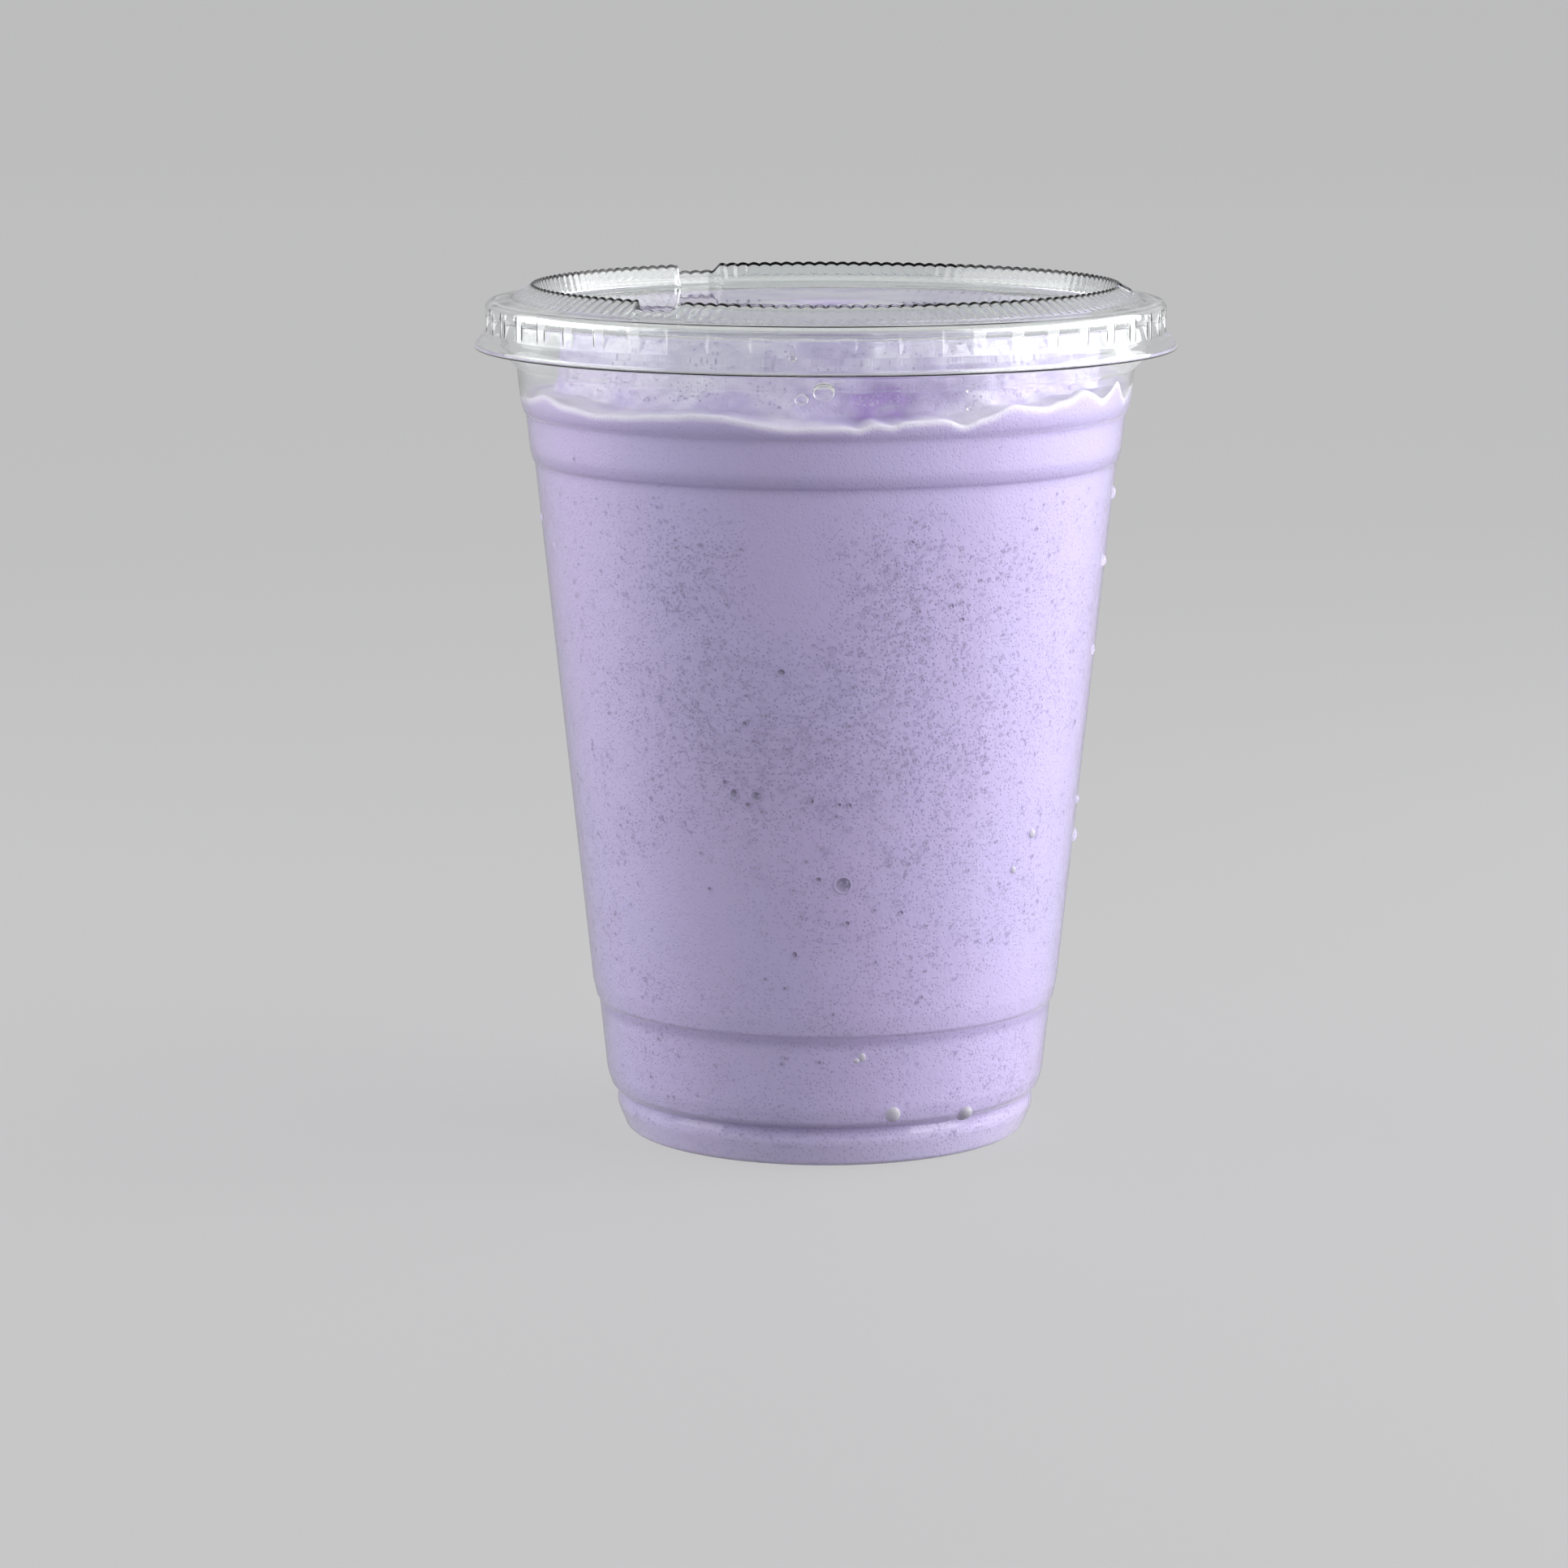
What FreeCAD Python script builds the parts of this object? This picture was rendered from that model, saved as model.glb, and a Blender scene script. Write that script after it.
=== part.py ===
import FreeCAD, Part
import math
import os

# Taro smoothie in a clear take-away cup with a clear press-down lid.
# Millimetres, +Z up, +Y to the back. The origin is the middle of the ring that the cup stands on.
# Three separate pieces: the thermoformed cup, the thermoformed lid and the thick smoothie.

# ---- cup: overall sizes -------------------------------------------------------------------
CUP_HEIGHT = 121.75          # standing ring to the top of the rolled rim
CUP_WALL = 0.5               # sheet thickness
WALL_DRAFT = 0.105           # outward lean of every straight stretch of wall, mm per mm
ROLL_RADIUS = 0.9            # outer radius of the rolled rim's section
ROLL_TURN = 275.0            # degrees that the rim is rolled through

# ---- cup: foot ----------------------------------------------------------------------------
FOOT_RADIUS = 30.85          # widest part of the bulged foot
FOOT_WIDEST_Z = 3.8
RING_OUTER_INSET = 1.5       # foot radius less the outer edge of the standing ring
RING_WIDTH = 2.7             # flat width of the standing ring
BASE_RISE = 3.0              # how far the base panel is pushed up
BASE_SLOPE_WIDTH = 2.4       # run of the slope between the standing ring and the base panel
GROOVE_DEPTH = 0.45          # foot radius less the radius at the groove above it
GROOVE_Z = 5.7
BAND_Z = 8.6                 # where the wall proper starts
BAND_OUT = 1.4               # radius there less the foot radius
BAND_LEDGE_OUT, BAND_LEDGE_TALL = 1.2, 0.8   # steep underside of the band, above the groove

# ---- cup: the four shoulders of the wall --------------------------------------------------
LOWER_STEP_Z = 19.45         # height of the lowest shoulder above the standing ring
MIDDLE_STEP_DROP = 23.0      # the other three are set by their depth below the rim
UPPER_STEP_DROP = 16.0
NECK_STEP_DROP = 9.15
LOWER_STEP_OUT, LOWER_STEP_TALL = 0.63, 2.85
MIDDLE_STEP_OUT, MIDDLE_STEP_TALL = 0.50, 2.0
UPPER_STEP_OUT, UPPER_STEP_TALL = 0.61, 2.2
NECK_STEP_OUT, NECK_STEP_TALL = 2.05, 2.2
STEP_ROUND = 0.9             # rounding of a shoulder's upper corner, and of the neck's lower one
LEDGE_SHARE = 0.6            # of its run outwards, a shoulder takes this much in its ledge
LEDGE_TALL = 0.35            # height of the ledge at the foot of each shoulder
LEDGE_ROUND = 0.2            # rounding of the crease under it

# ---- lid ----------------------------------------------------------------------------------
LID_WALL = 0.35
LID_SIDE_GAP = 0.05          # between the rolled rim and the lid's skirt
LID_SEAT_GAP = 0.05          # between the top of the rolled rim and the lid above it
SKIRT_CORNER_ROUND = 0.9
RIM_TOP_SLOPE = 0.143        # rise of the lid's rim towards the middle, mm per mm
RIM_TOP_WIDTH = 3.5          # from the skirt to the foot of the ribs
FLARE_DROP = 4.25            # top corner of the skirt to the start of its flare
FLARE_OUT, FLARE_TALL = 1.35, 1.6
LIP_OUT, LIP_TALL = 0.25, 0.75
CROWN_RUN = 3.5              # radial run of the ribbed slope
CROWN_RISE = 2.15            # its height
RIB_COUNT = 156
RIB_HEIGHT = 0.22            # height of a rib, square to the slope
PANEL_DROP = 3.45            # crest of the crown to the sunken panel
RECESS_LEAN = 1.0            # how far the recess narrows down to the panel
PANEL_CORNER_ROUND = 0.7
NOTCH_COUNT = 3
NOTCH_WIDTH = 6.6            # along the crown
NOTCH_RUN = 1.9              # how far a notch cuts back from the crest
NOTCH_FIRST_ANGLE = -33.0    # degrees from the front, positive to the right
SLOT_LENGTH = 17.0           # each arm of the crossed straw slot
SLOT_WIDTH = 0.4

# ---- snap lugs of the lid -----------------------------------------------------------------
LUG_COUNT = 50
LUG_WIDTH = 4.5              # of each pressed-in pocket, at the skirt's outer face
LUG_DEPTH = 0.45
LUG_FLANK_RUN = 0.8          # width of each slanted flank of a pocket
SNAP_GAP = 0.06              # between a lug and the rolled rim

# ---- smoothie -----------------------------------------------------------------------------
FILL_GAP = 0.05              # between the smoothie and the inside of the cup
FILL_DROP = 12.6             # rim down to the mean level at the wall
FRONT_DIP = 1.7              # how much lower the level is at the front
SIDE_LEAN = 0.75             # how much higher it is to the right, lower to the left
GUTTER_WIDTH = 5.4           # free ring between the wall and the heaped middle
MOUND_LID_GAP = 0.3          # between the heap's top and the lid's panel
HOLLOW_DEPTH = 2.2           # dent in the front of the heap
HOLLOW_ANGLE = 9.0           # degrees from the front, positive to the right
HOLLOW_LIFT = 2.0            # its middle above the mean level
HOLLOW_HALF_ANGLE = 11.0     # degrees from its middle to where it has all but faded
HOLLOW_HALF_HEIGHT = 2.6


# ---- profile tools ------------------------------------------------------------------------
def point(radius, height):
    return FreeCAD.Vector(radius, 0, height)


def shifted_line(start, end, distance):
    """A point on the line start-end moved to its left by distance, and the line's direction."""
    length = math.hypot(end[0] - start[0], end[1] - start[1])
    along, up = (end[0] - start[0]) / length, (end[1] - start[1]) / length
    return (start[0] - up * distance, start[1] + along * distance), (along, up)


def offset_corners(corners, distance):
    """The path of (radius, height, rounding) corners moved to its left by distance."""
    lines = [shifted_line(a, b, distance) for a, b in zip(corners, corners[1:])]
    start = lines[0][0]
    moved = [(start[0], start[1], 0)]
    for corner, (p, d), (q, e) in zip(corners[1:], lines, lines[1:]):
        turn = d[0] * e[1] - d[1] * e[0]
        reach = ((q[0] - p[0]) * e[1] - (q[1] - p[1]) * e[0]) / turn
        rounding = corner[2] - math.copysign(distance, turn * distance)
        rounding = max(rounding, SMALLEST_ROUND) if corner[2] else 0
        moved.append((p[0] + reach * d[0], p[1] + reach * d[1], rounding))
    end, (along, up) = corners[-1], lines[-1][1]
    moved.append((end[0] - up * distance, end[1] + along * distance, 0))
    return moved


def rounded_path(corners):
    """Lines and tangent arcs through the corners; an arc takes at most half of a side."""
    points = [point(c[0], c[1]) for c in corners]
    edges = []
    last = points[0]
    for i in range(1, len(corners) - 1):
        back = (points[i - 1] - points[i]).normalize()
        ahead = (points[i + 1] - points[i]).normalize()
        half_turn = (math.pi - back.getAngle(ahead)) / 2
        room = 0.49 * min((points[i - 1] - points[i]).Length, (points[i + 1] - points[i]).Length)
        setback = min(corners[i][2] * math.tan(half_turn), room)
        if setback < 1e-6:
            edges.append(Part.makeLine(last, points[i]))
            last = points[i]
            continue
        radius = setback / math.tan(half_turn)
        bisector = (back + ahead).normalize()
        centre = points[i] + bisector * (radius / math.cos(half_turn))
        arc_start, arc_end = points[i] + back * setback, points[i] + ahead * setback
        edges.append(Part.makeLine(last, arc_start))
        edges.append(Part.Arc(arc_start, centre - bisector * radius, arc_end).toShape())
        last = arc_end
    edges.append(Part.makeLine(last, points[-1]))
    return edges


def revolved(edges):
    face = Part.Face(Part.Wire(Part.__sortEdges__(edges)))
    return face.revolve(FreeCAD.Vector(0, 0, 0), FreeCAD.Vector(0, 0, 1), 360)


def turned_solid(corners, closing_height):
    """The path turned about the axis; it ends on the axis and closes along closing_height."""
    first, last = corners[0], corners[-1]
    edges = rounded_path(corners)
    outer_foot, inner_foot = point(first[0], closing_height), point(0, closing_height)
    if first[1] != closing_height:
        edges.append(Part.makeLine(outer_foot, point(first[0], first[1])))
    edges.append(Part.makeLine(inner_foot, outer_foot))
    edges.append(Part.makeLine(point(last[0], last[1]), inner_foot))
    return revolved(edges)


# ---- cup ----------------------------------------------------------------------------------
ROLL_Z = CUP_HEIGHT - ROLL_RADIUS
NECK_STRAIGHT = 1.2          # upright stretch of wall below the middle of the rolled rim
SMALLEST_ROUND = 0.05

WALL_STEPS = [
    (LOWER_STEP_Z, LOWER_STEP_TALL, LOWER_STEP_OUT),
    (CUP_HEIGHT - MIDDLE_STEP_DROP, MIDDLE_STEP_TALL, MIDDLE_STEP_OUT),
    (CUP_HEIGHT - UPPER_STEP_DROP, UPPER_STEP_TALL, UPPER_STEP_OUT),
    (CUP_HEIGHT - NECK_STEP_DROP, NECK_STEP_TALL, NECK_STEP_OUT),
]


def wall_radius(height):
    """Outer radius of the wall, with the shoulders that lie wholly below the height."""
    shoulders = sum(out for z, tall, out in WALL_STEPS if height >= z + tall)
    return FOOT_RADIUS + BAND_OUT + WALL_DRAFT * (height - BAND_Z) + shoulders


NECK_TOP_Z = ROLL_Z - NECK_STRAIGHT
NECK_RADIUS = wall_radius(NECK_TOP_Z)
ROLL_CENTRE_RADIUS = NECK_RADIUS - CUP_WALL + ROLL_RADIUS
RIM_RADIUS = ROLL_CENTRE_RADIUS + ROLL_RADIUS


def cup_corners():
    """Outer line of the cup from the middle of its base, round the foot and up to the rim."""
    ring_outer = FOOT_RADIUS - RING_OUTER_INSET
    ring_inner = ring_outer - RING_WIDTH
    corners = [
        (0, BASE_RISE, 0),
        (ring_inner - BASE_SLOPE_WIDTH, BASE_RISE, 1.0),
        (ring_inner, 0, 0.8),
        (ring_outer, 0, 0.9),
        (FOOT_RADIUS, FOOT_WIDEST_Z, 2.6),
        (FOOT_RADIUS - GROOVE_DEPTH, GROOVE_Z, 0.3),
        (FOOT_RADIUS - GROOVE_DEPTH + BAND_LEDGE_OUT, GROOVE_Z + BAND_LEDGE_TALL, 1.2),
        (FOOT_RADIUS + BAND_OUT, BAND_Z, 2.4),
    ]
    for z, tall, out in WALL_STEPS[:-1]:
        corners.append((wall_radius(z), z, LEDGE_ROUND))
        corners.append((wall_radius(z) + LEDGE_SHARE * out, z + LEDGE_TALL, STEP_ROUND))
        corners.append((wall_radius(z + tall), z + tall, STEP_ROUND))
    neck_z, neck_tall, _ = WALL_STEPS[-1]
    corners.append((wall_radius(neck_z), neck_z, STEP_ROUND))
    corners.append((wall_radius(neck_z + neck_tall), neck_z + neck_tall, STEP_ROUND))
    corners.append((NECK_RADIUS, NECK_TOP_Z, 1.0))
    corners.append((NECK_RADIUS, ROLL_Z, 0))
    return corners


def roll_arc(radius):
    """The rolled rim's arc, from the wall over the top and round to its free edge."""
    def on_circle(turned):
        angle = math.radians(180 - turned)
        return point(ROLL_CENTRE_RADIUS + radius * math.cos(angle), ROLL_Z + radius * math.sin(angle))
    start, middle, end = on_circle(0), on_circle(ROLL_TURN / 2), on_circle(ROLL_TURN)
    return Part.Arc(start, middle, end).toShape(), end


def make_cup():
    outer = cup_corners()
    inner = offset_corners(outer, CUP_WALL)
    small_arc, small_end = roll_arc(ROLL_RADIUS - CUP_WALL)
    large_arc, large_end = roll_arc(ROLL_RADIUS)
    edges = rounded_path(outer) + rounded_path(inner)
    edges += [small_arc, large_arc, Part.makeLine(small_end, large_end)]
    edges.append(Part.makeLine(point(0, outer[0][1]), point(0, inner[0][1])))
    return revolved(edges)


# ---- lid ----------------------------------------------------------------------------------
SKIRT_RADIUS = RIM_RADIUS + LID_SIDE_GAP + LID_WALL
SLOPE_LENGTH = math.hypot(1, RIM_TOP_SLOPE)
SKIRT_TOP = (CUP_HEIGHT + LID_SEAT_GAP + LID_WALL * SLOPE_LENGTH
             - RIM_TOP_SLOPE * (SKIRT_RADIUS - ROLL_CENTRE_RADIUS))
FLARE_Z = SKIRT_TOP - FLARE_DROP
LIP_RADIUS = SKIRT_RADIUS + FLARE_OUT + LIP_OUT
LIP_Z = FLARE_Z - FLARE_TALL - LIP_TALL
RIB_FOOT_RADIUS = SKIRT_RADIUS - RIM_TOP_WIDTH
RIB_FOOT_Z = SKIRT_TOP + RIM_TOP_SLOPE * RIM_TOP_WIDTH
CREST_RADIUS = RIB_FOOT_RADIUS - CROWN_RUN
CREST_Z = RIB_FOOT_Z + CROWN_RISE
PANEL_RADIUS = CREST_RADIUS - RECESS_LEAN
PANEL_Z = CREST_Z - PANEL_DROP
ABOVE_LID = 1.5              # how far cutting shapes stand above the crest
TOOL_MARGIN = 0.25           # how far cutting shapes stand out of the skirt
CROWN_ROOT = 0.15            # how far the ribbed crown starts below the rim's surface


def skirt_corners():
    """Outer line of the lid from its lip, up the skirt and in over the rim to the axis."""
    return [
        (LIP_RADIUS, LIP_Z, 0),
        (SKIRT_RADIUS + FLARE_OUT, FLARE_Z - FLARE_TALL, 0.4),
        (SKIRT_RADIUS, FLARE_Z, 0.5),
        (SKIRT_RADIUS, SKIRT_TOP, SKIRT_CORNER_ROUND),
        (RIB_FOOT_RADIUS, RIB_FOOT_Z, 0.3),
        (0, RIB_FOOT_Z, 0),
    ]


def recess_corners():
    """Upper surface of the sunken middle, from above the crest down and in to the axis."""
    lean = RECESS_LEAN / PANEL_DROP
    return [
        (CREST_RADIUS + lean * ABOVE_LID, CREST_Z + ABOVE_LID, 0),
        (PANEL_RADIUS, PANEL_Z, PANEL_CORNER_ROUND),
        (0, PANEL_Z, 0),
    ]


def ribbed_ring(radius, height):
    """A closed line of outward arcs, one for each rib."""
    bulge = RIB_HEIGHT * math.hypot(CROWN_RUN, CROWN_RISE) / CROWN_RISE

    def at(position, distance):
        angle = 2 * math.pi * position / RIB_COUNT
        return FreeCAD.Vector(distance * math.cos(angle), distance * math.sin(angle), height)
    arcs = [Part.Arc(at(i, radius - bulge), at(i + 0.5, radius), at(i + 1, radius - bulge)).toShape()
            for i in range(RIB_COUNT)]
    return Part.Wire(arcs)


def ribbed_crown():
    """The ribbed cone, from just below the rim's surface to above the crest."""
    run_per_rise = CROWN_RUN / CROWN_RISE
    low = ribbed_ring(RIB_FOOT_RADIUS + CROWN_ROOT * run_per_rise, RIB_FOOT_Z - CROWN_ROOT)
    high = ribbed_ring(CREST_RADIUS - ABOVE_LID * run_per_rise, CREST_Z + ABOVE_LID)
    return Part.makeLoft([low, high], True, True)


def notches(growth):
    """Blocks that cut the crown back at each notch, grown by the sheet for the underside."""
    width = NOTCH_WIDTH + 2 * growth
    floor = PANEL_Z - growth
    tall = CREST_Z + ABOVE_LID - floor
    reach = CREST_RADIUS + NOTCH_RUN + growth
    drum = Part.makeCylinder(reach, tall, FreeCAD.Vector(0, 0, floor))
    block = Part.makeBox(width, reach, tall, FreeCAD.Vector(-width / 2, -reach, floor))
    return turned_copies(drum.common(block), NOTCH_COUNT, NOTCH_FIRST_ANGLE)


def turned_copies(shape, count, first_angle=0.0):
    """Copies of a shape made at the front, spread evenly round the axis."""
    copies = []
    for i in range(count):
        copy = shape.copy()
        copy.rotate(FreeCAD.Vector(0, 0, 0), FreeCAD.Vector(0, 0, 1), first_angle + 360 * i / count)
        copies.append(copy)
    return copies


def pocket_section(growth):
    """Corners of a lug's pocket: ledge, innermost corner and foot, for the inner or outer face."""
    inner_skirt = SKIRT_RADIUS - LID_WALL
    reach = inner_skirt - LUG_DEPTH - ROLL_CENTRE_RADIUS
    corner_z = ROLL_Z - (math.sqrt(2) * (ROLL_RADIUS + SNAP_GAP) - reach)
    ledge = LUG_DEPTH + TOOL_MARGIN
    path = [
        (inner_skirt + TOOL_MARGIN, corner_z + ledge, 0),
        (inner_skirt - LUG_DEPTH, corner_z, 0),
        (inner_skirt, FLARE_Z + 0.1, 0),
    ]
    return offset_corners(path, LID_WALL - growth) if growth < LID_WALL else path


def pocket(growth):
    """A cutting block for one lug at the front: slanted flanks, deepest under its ledge."""
    section = pocket_section(growth)
    face_radius = SKIRT_RADIUS - growth
    section.append((face_radius + TOOL_MARGIN, section[-1][1], 0))
    slant = LUG_FLANK_RUN / LUG_DEPTH

    def half_width(radius):
        return LUG_WIDTH / 2 + (radius - SKIRT_RADIUS) * slant + growth * math.hypot(1, slant)
    left = [FreeCAD.Vector(-half_width(c[0]), -c[0], c[1]) for c in section]
    right = [FreeCAD.Vector(half_width(c[0]), -c[0], c[1]) for c in section]
    loops = [left, right]
    for i in range(len(section)):
        loops.append([left[i], left[i - 1], right[i - 1], right[i]])
    faces = [Part.Face(Part.makePolygon(loop + [loop[0]])) for loop in loops]
    return Part.makeSolid(Part.makeShell(faces))


def lid_body(growth):
    """The lid as a full body under its upper surface (growth 0) or its underside (LID_WALL)."""
    skirt = offset_corners(skirt_corners(), growth) if growth else skirt_corners()
    skirt[-1] = (0, skirt[-2][1], 0)
    body = turned_solid(skirt, LIP_Z - growth)
    crown = ribbed_crown()
    crown.translate(FreeCAD.Vector(0, 0, -growth * math.hypot(CROWN_RUN, CROWN_RISE) / CROWN_RUN))
    recess = offset_corners(recess_corners(), growth) if growth else recess_corners()
    sunken = turned_solid(recess, recess[0][1])
    pockets = turned_copies(pocket(growth), LUG_COUNT)
    return body.fuse(crown).cut([sunken] + notches(growth)).cut(pockets)


def straw_slot():
    arm = Part.makeBox(SLOT_LENGTH, SLOT_WIDTH, 4 * LID_WALL,
                       FreeCAD.Vector(-SLOT_LENGTH / 2, -SLOT_WIDTH / 2, PANEL_Z - 2 * LID_WALL))
    arm.rotate(FreeCAD.Vector(0, 0, 0), FreeCAD.Vector(0, 0, 1), 45)
    other = arm.copy()
    other.rotate(FreeCAD.Vector(0, 0, 0), FreeCAD.Vector(0, 0, 1), 90)
    return arm.fuse(other)


def make_lid():
    sheet = lid_body(0).cut(lid_body(LID_WALL))
    return sheet.cut(straw_slot())


# ---- smoothie -----------------------------------------------------------------------------
LEVEL_Z = CUP_HEIGHT - FILL_DROP
JOIN_DROP = 1.5              # the turned part of the smoothie ends this far under its lowest level
JOIN_Z = LEVEL_Z - FRONT_DIP - SIDE_LEAN - JOIN_DROP
INSIDE_CORNERS = offset_corners(cup_corners(), CUP_WALL + FILL_GAP)
MOUND_TOP_Z = PANEL_Z - LID_WALL - MOUND_LID_GAP
TOP_SPOT_RADIUS = 3.0        # the flat spot that closes the heap
MOUND_FOOT = 0.8             # how far the heap's foot runs out into the gutter
GUTTER_SAG = 0.35
WALL_RINGS, GUTTER_RINGS, MOUND_RINGS = 8, 5, 12
RING_POINTS = 90


def inside_radius(height):
    """Radius of the room inside the wall, less the gap round the smoothie."""
    for (r0, z0, _), (r1, z1, _) in zip(INSIDE_CORNERS, INSIDE_CORNERS[1:]):
        if z0 <= height < z1:
            return r0 + (r1 - r0) * (height - z0) / (z1 - z0)
    return INSIDE_CORNERS[-1][0]


MOUND_RADIUS = inside_radius(LEVEL_Z) - GUTTER_WIDTH


def level(angle):
    """Height of the smoothie at the wall; the angle runs from the front to the right, in degrees."""
    turn = math.radians(angle)
    ripple = 0.30 * math.sin(9 * turn + 0.7) + 0.22 * math.sin(17 * turn + 3.5)
    return LEVEL_Z + SIDE_LEAN * math.sin(turn) - FRONT_DIP * math.cos(turn / 2) ** 40 + ripple


def hollow(angle, height):
    """How far the dent in the front of the heap goes in."""
    across = (angle - HOLLOW_ANGLE) / HOLLOW_HALF_ANGLE
    up = (height - LEVEL_Z - HOLLOW_LIFT) / HOLLOW_HALF_HEIGHT
    return HOLLOW_DEPTH * math.exp(-across * across - up * up)


def ring(profile):
    """A closed smooth line; profile gives radius and height at an angle from the front."""
    points = []
    for i in range(RING_POINTS):
        angle = 360 * i / RING_POINTS - 180
        radius, height = profile(angle)
        turn = math.radians(angle)
        points.append(FreeCAD.Vector(radius * math.sin(turn), -radius * math.cos(turn), height))
    curve = Part.BSplineCurve()
    curve.interpolate(points, PeriodicFlag=True)
    return Part.Wire(curve.toShape())


def wall_ring(share):
    """A ring on the inside of the cup, from the joining height (share 0) to the level (share 1)."""
    def profile(angle):
        height = JOIN_Z + share * (level(angle) - JOIN_Z)
        return inside_radius(height), height
    return ring(profile)


def gutter_ring(share):
    """A ring of the free gutter, from the wall (share 0) to the foot of the heap (share 1)."""
    def profile(angle):
        height = level(angle)
        wall = inside_radius(height)
        radius = wall + share * (MOUND_RADIUS + MOUND_FOOT - wall)
        return radius, height - GUTTER_SAG * math.sin(math.pi * share) ** 2
    return ring(profile)


def mound_ring(climb):
    """A ring of the heap, a rounded dome; climb runs from 0 at its foot to pi/2 at its top."""
    def profile(angle):
        foot = level(angle)
        height = foot + (MOUND_TOP_Z - foot) * math.sqrt(math.sin(climb))
        turn = math.radians(angle)
        uneven = 0.35 * math.sin(4 * turn + 1.0) + 0.25 * math.sin(7 * turn + 2.0)
        fade = math.cos(climb)
        radius = MOUND_RADIUS * math.sqrt(fade) + uneven * fade - hollow(angle, height)
        return radius, height
    return ring(profile)


def lower_fill():
    """The smoothie below the joining height, turned from the cup's own inner line."""
    corners = [c for c in INSIDE_CORNERS if c[1] < JOIN_Z - SMALLEST_ROUND]
    corners.append((inside_radius(JOIN_Z), JOIN_Z, 0))
    edges = rounded_path(corners)
    edges.append(Part.makeLine(point(corners[-1][0], JOIN_Z), point(0, JOIN_Z)))
    edges.append(Part.makeLine(point(0, JOIN_Z), point(0, corners[0][1])))
    return revolved(edges)


def upper_fill():
    """The smoothie above the joining height: up the wall, over the gutter and up the heap."""
    foot = Part.Wire(Part.makeCircle(inside_radius(JOIN_Z), FreeCAD.Vector(0, 0, JOIN_Z)))
    rings = [wall_ring(i / WALL_RINGS) for i in range(1, WALL_RINGS + 1)]
    rings += [gutter_ring(i / GUTTER_RINGS) for i in range(1, GUTTER_RINGS + 1)]
    rings += [mound_ring(math.pi / 2 * (i / MOUND_RINGS) ** 2) for i in range(1, MOUND_RINGS)]
    top = Part.Wire(Part.makeCircle(TOP_SPOT_RADIUS, FreeCAD.Vector(0, 0, MOUND_TOP_Z)))
    return Part.makeLoft([foot] + rings + [top], True, True)


def make_smoothie():
    return lower_fill().fuse(upper_fill())


def export(name, shape):
    shape.exportStep("parts/" + name + ".step")
    print(name, "solids", len(shape.Solids), "valid", shape.isValid(), "volume %.1f" % shape.Volume)


if __name__ == "__main__":
    os.makedirs("parts", exist_ok=True)
    export("cup", make_cup())
    export("lid", make_lid())
    export("smoothie", make_smoothie())
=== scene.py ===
import math
import bpy
import numpy as np
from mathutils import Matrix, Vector


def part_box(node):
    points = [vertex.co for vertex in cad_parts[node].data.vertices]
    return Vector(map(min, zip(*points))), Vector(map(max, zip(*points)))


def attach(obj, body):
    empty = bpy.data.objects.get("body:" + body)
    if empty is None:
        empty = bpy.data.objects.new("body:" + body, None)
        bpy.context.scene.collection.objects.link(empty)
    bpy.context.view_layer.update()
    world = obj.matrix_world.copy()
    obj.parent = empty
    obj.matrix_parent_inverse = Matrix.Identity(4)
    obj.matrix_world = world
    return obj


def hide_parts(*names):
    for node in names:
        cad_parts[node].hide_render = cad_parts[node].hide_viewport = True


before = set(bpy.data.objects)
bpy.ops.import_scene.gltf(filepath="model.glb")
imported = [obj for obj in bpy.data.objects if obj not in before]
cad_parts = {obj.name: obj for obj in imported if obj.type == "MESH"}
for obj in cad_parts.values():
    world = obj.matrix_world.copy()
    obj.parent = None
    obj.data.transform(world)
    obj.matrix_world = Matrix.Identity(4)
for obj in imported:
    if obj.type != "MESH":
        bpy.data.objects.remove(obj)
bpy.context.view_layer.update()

# Taro smoothie in a clear lidded cup. Sizes are in millimetres and become metres in build().
# Angles run from the front, which is -Y, and are positive to the right.
MM = 0.001
TINY = 1e-6                  # anything smaller counts as nothing
CIRCLE = 2 * math.pi
CUP_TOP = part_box("cup")[1] / MM
LID_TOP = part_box("lid")[1] / MM

# ---- cup ----------------------------------------------------------------------------------
CUP_HEIGHT = round(CUP_TOP.z, 2)
CUP_WALL = 0.5
WALL_DRAFT = 0.105           # outward lean of every straight stretch of wall
ROLL_RADIUS = 0.9
ROLL_TURN = 275.0            # degrees that the rim is rolled through
FOOT_RADIUS = 30.85
FOOT_WIDEST_Z = 3.8
RING_OUTER_INSET = 1.5       # foot radius less the outer edge of the standing ring
RING_WIDTH = 2.7
BASE_RISE = 3.0
BASE_SLOPE_WIDTH = 2.4
GROOVE_DEPTH = 0.45
GROOVE_Z = 5.7
BAND_Z = 8.6                 # where the wall proper starts
BAND_OUT = 1.4
BAND_LEDGE_OUT, BAND_LEDGE_TALL = 1.2, 0.8
STEP_ROUND = 0.9             # rounding of a shoulder's upper corner, and of the neck's lower one
LEDGE_SHARE = 0.6            # of its run outwards, a shoulder takes this much in its ledge
LEDGE_TALL = 0.35
LEDGE_ROUND = 0.2
# Shoulders of the wall, the lowest first: height of the lower edge, how tall, how far out.
WALL_STEPS = [
    (19.45, 2.85, 0.63),
    (CUP_HEIGHT - 23.0, 2.0, 0.50),
    (CUP_HEIGHT - 16.0, 2.2, 0.61),
    (CUP_HEIGHT - 9.15, 2.2, 2.05),
]
NECK_TALL = 1.2              # upright wall from the top of the neck to the middle of the roll
ROLL_Z = CUP_HEIGHT - ROLL_RADIUS
NECK_TOP_Z = ROLL_Z - NECK_TALL
CUP_COLUMNS = 240

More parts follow.
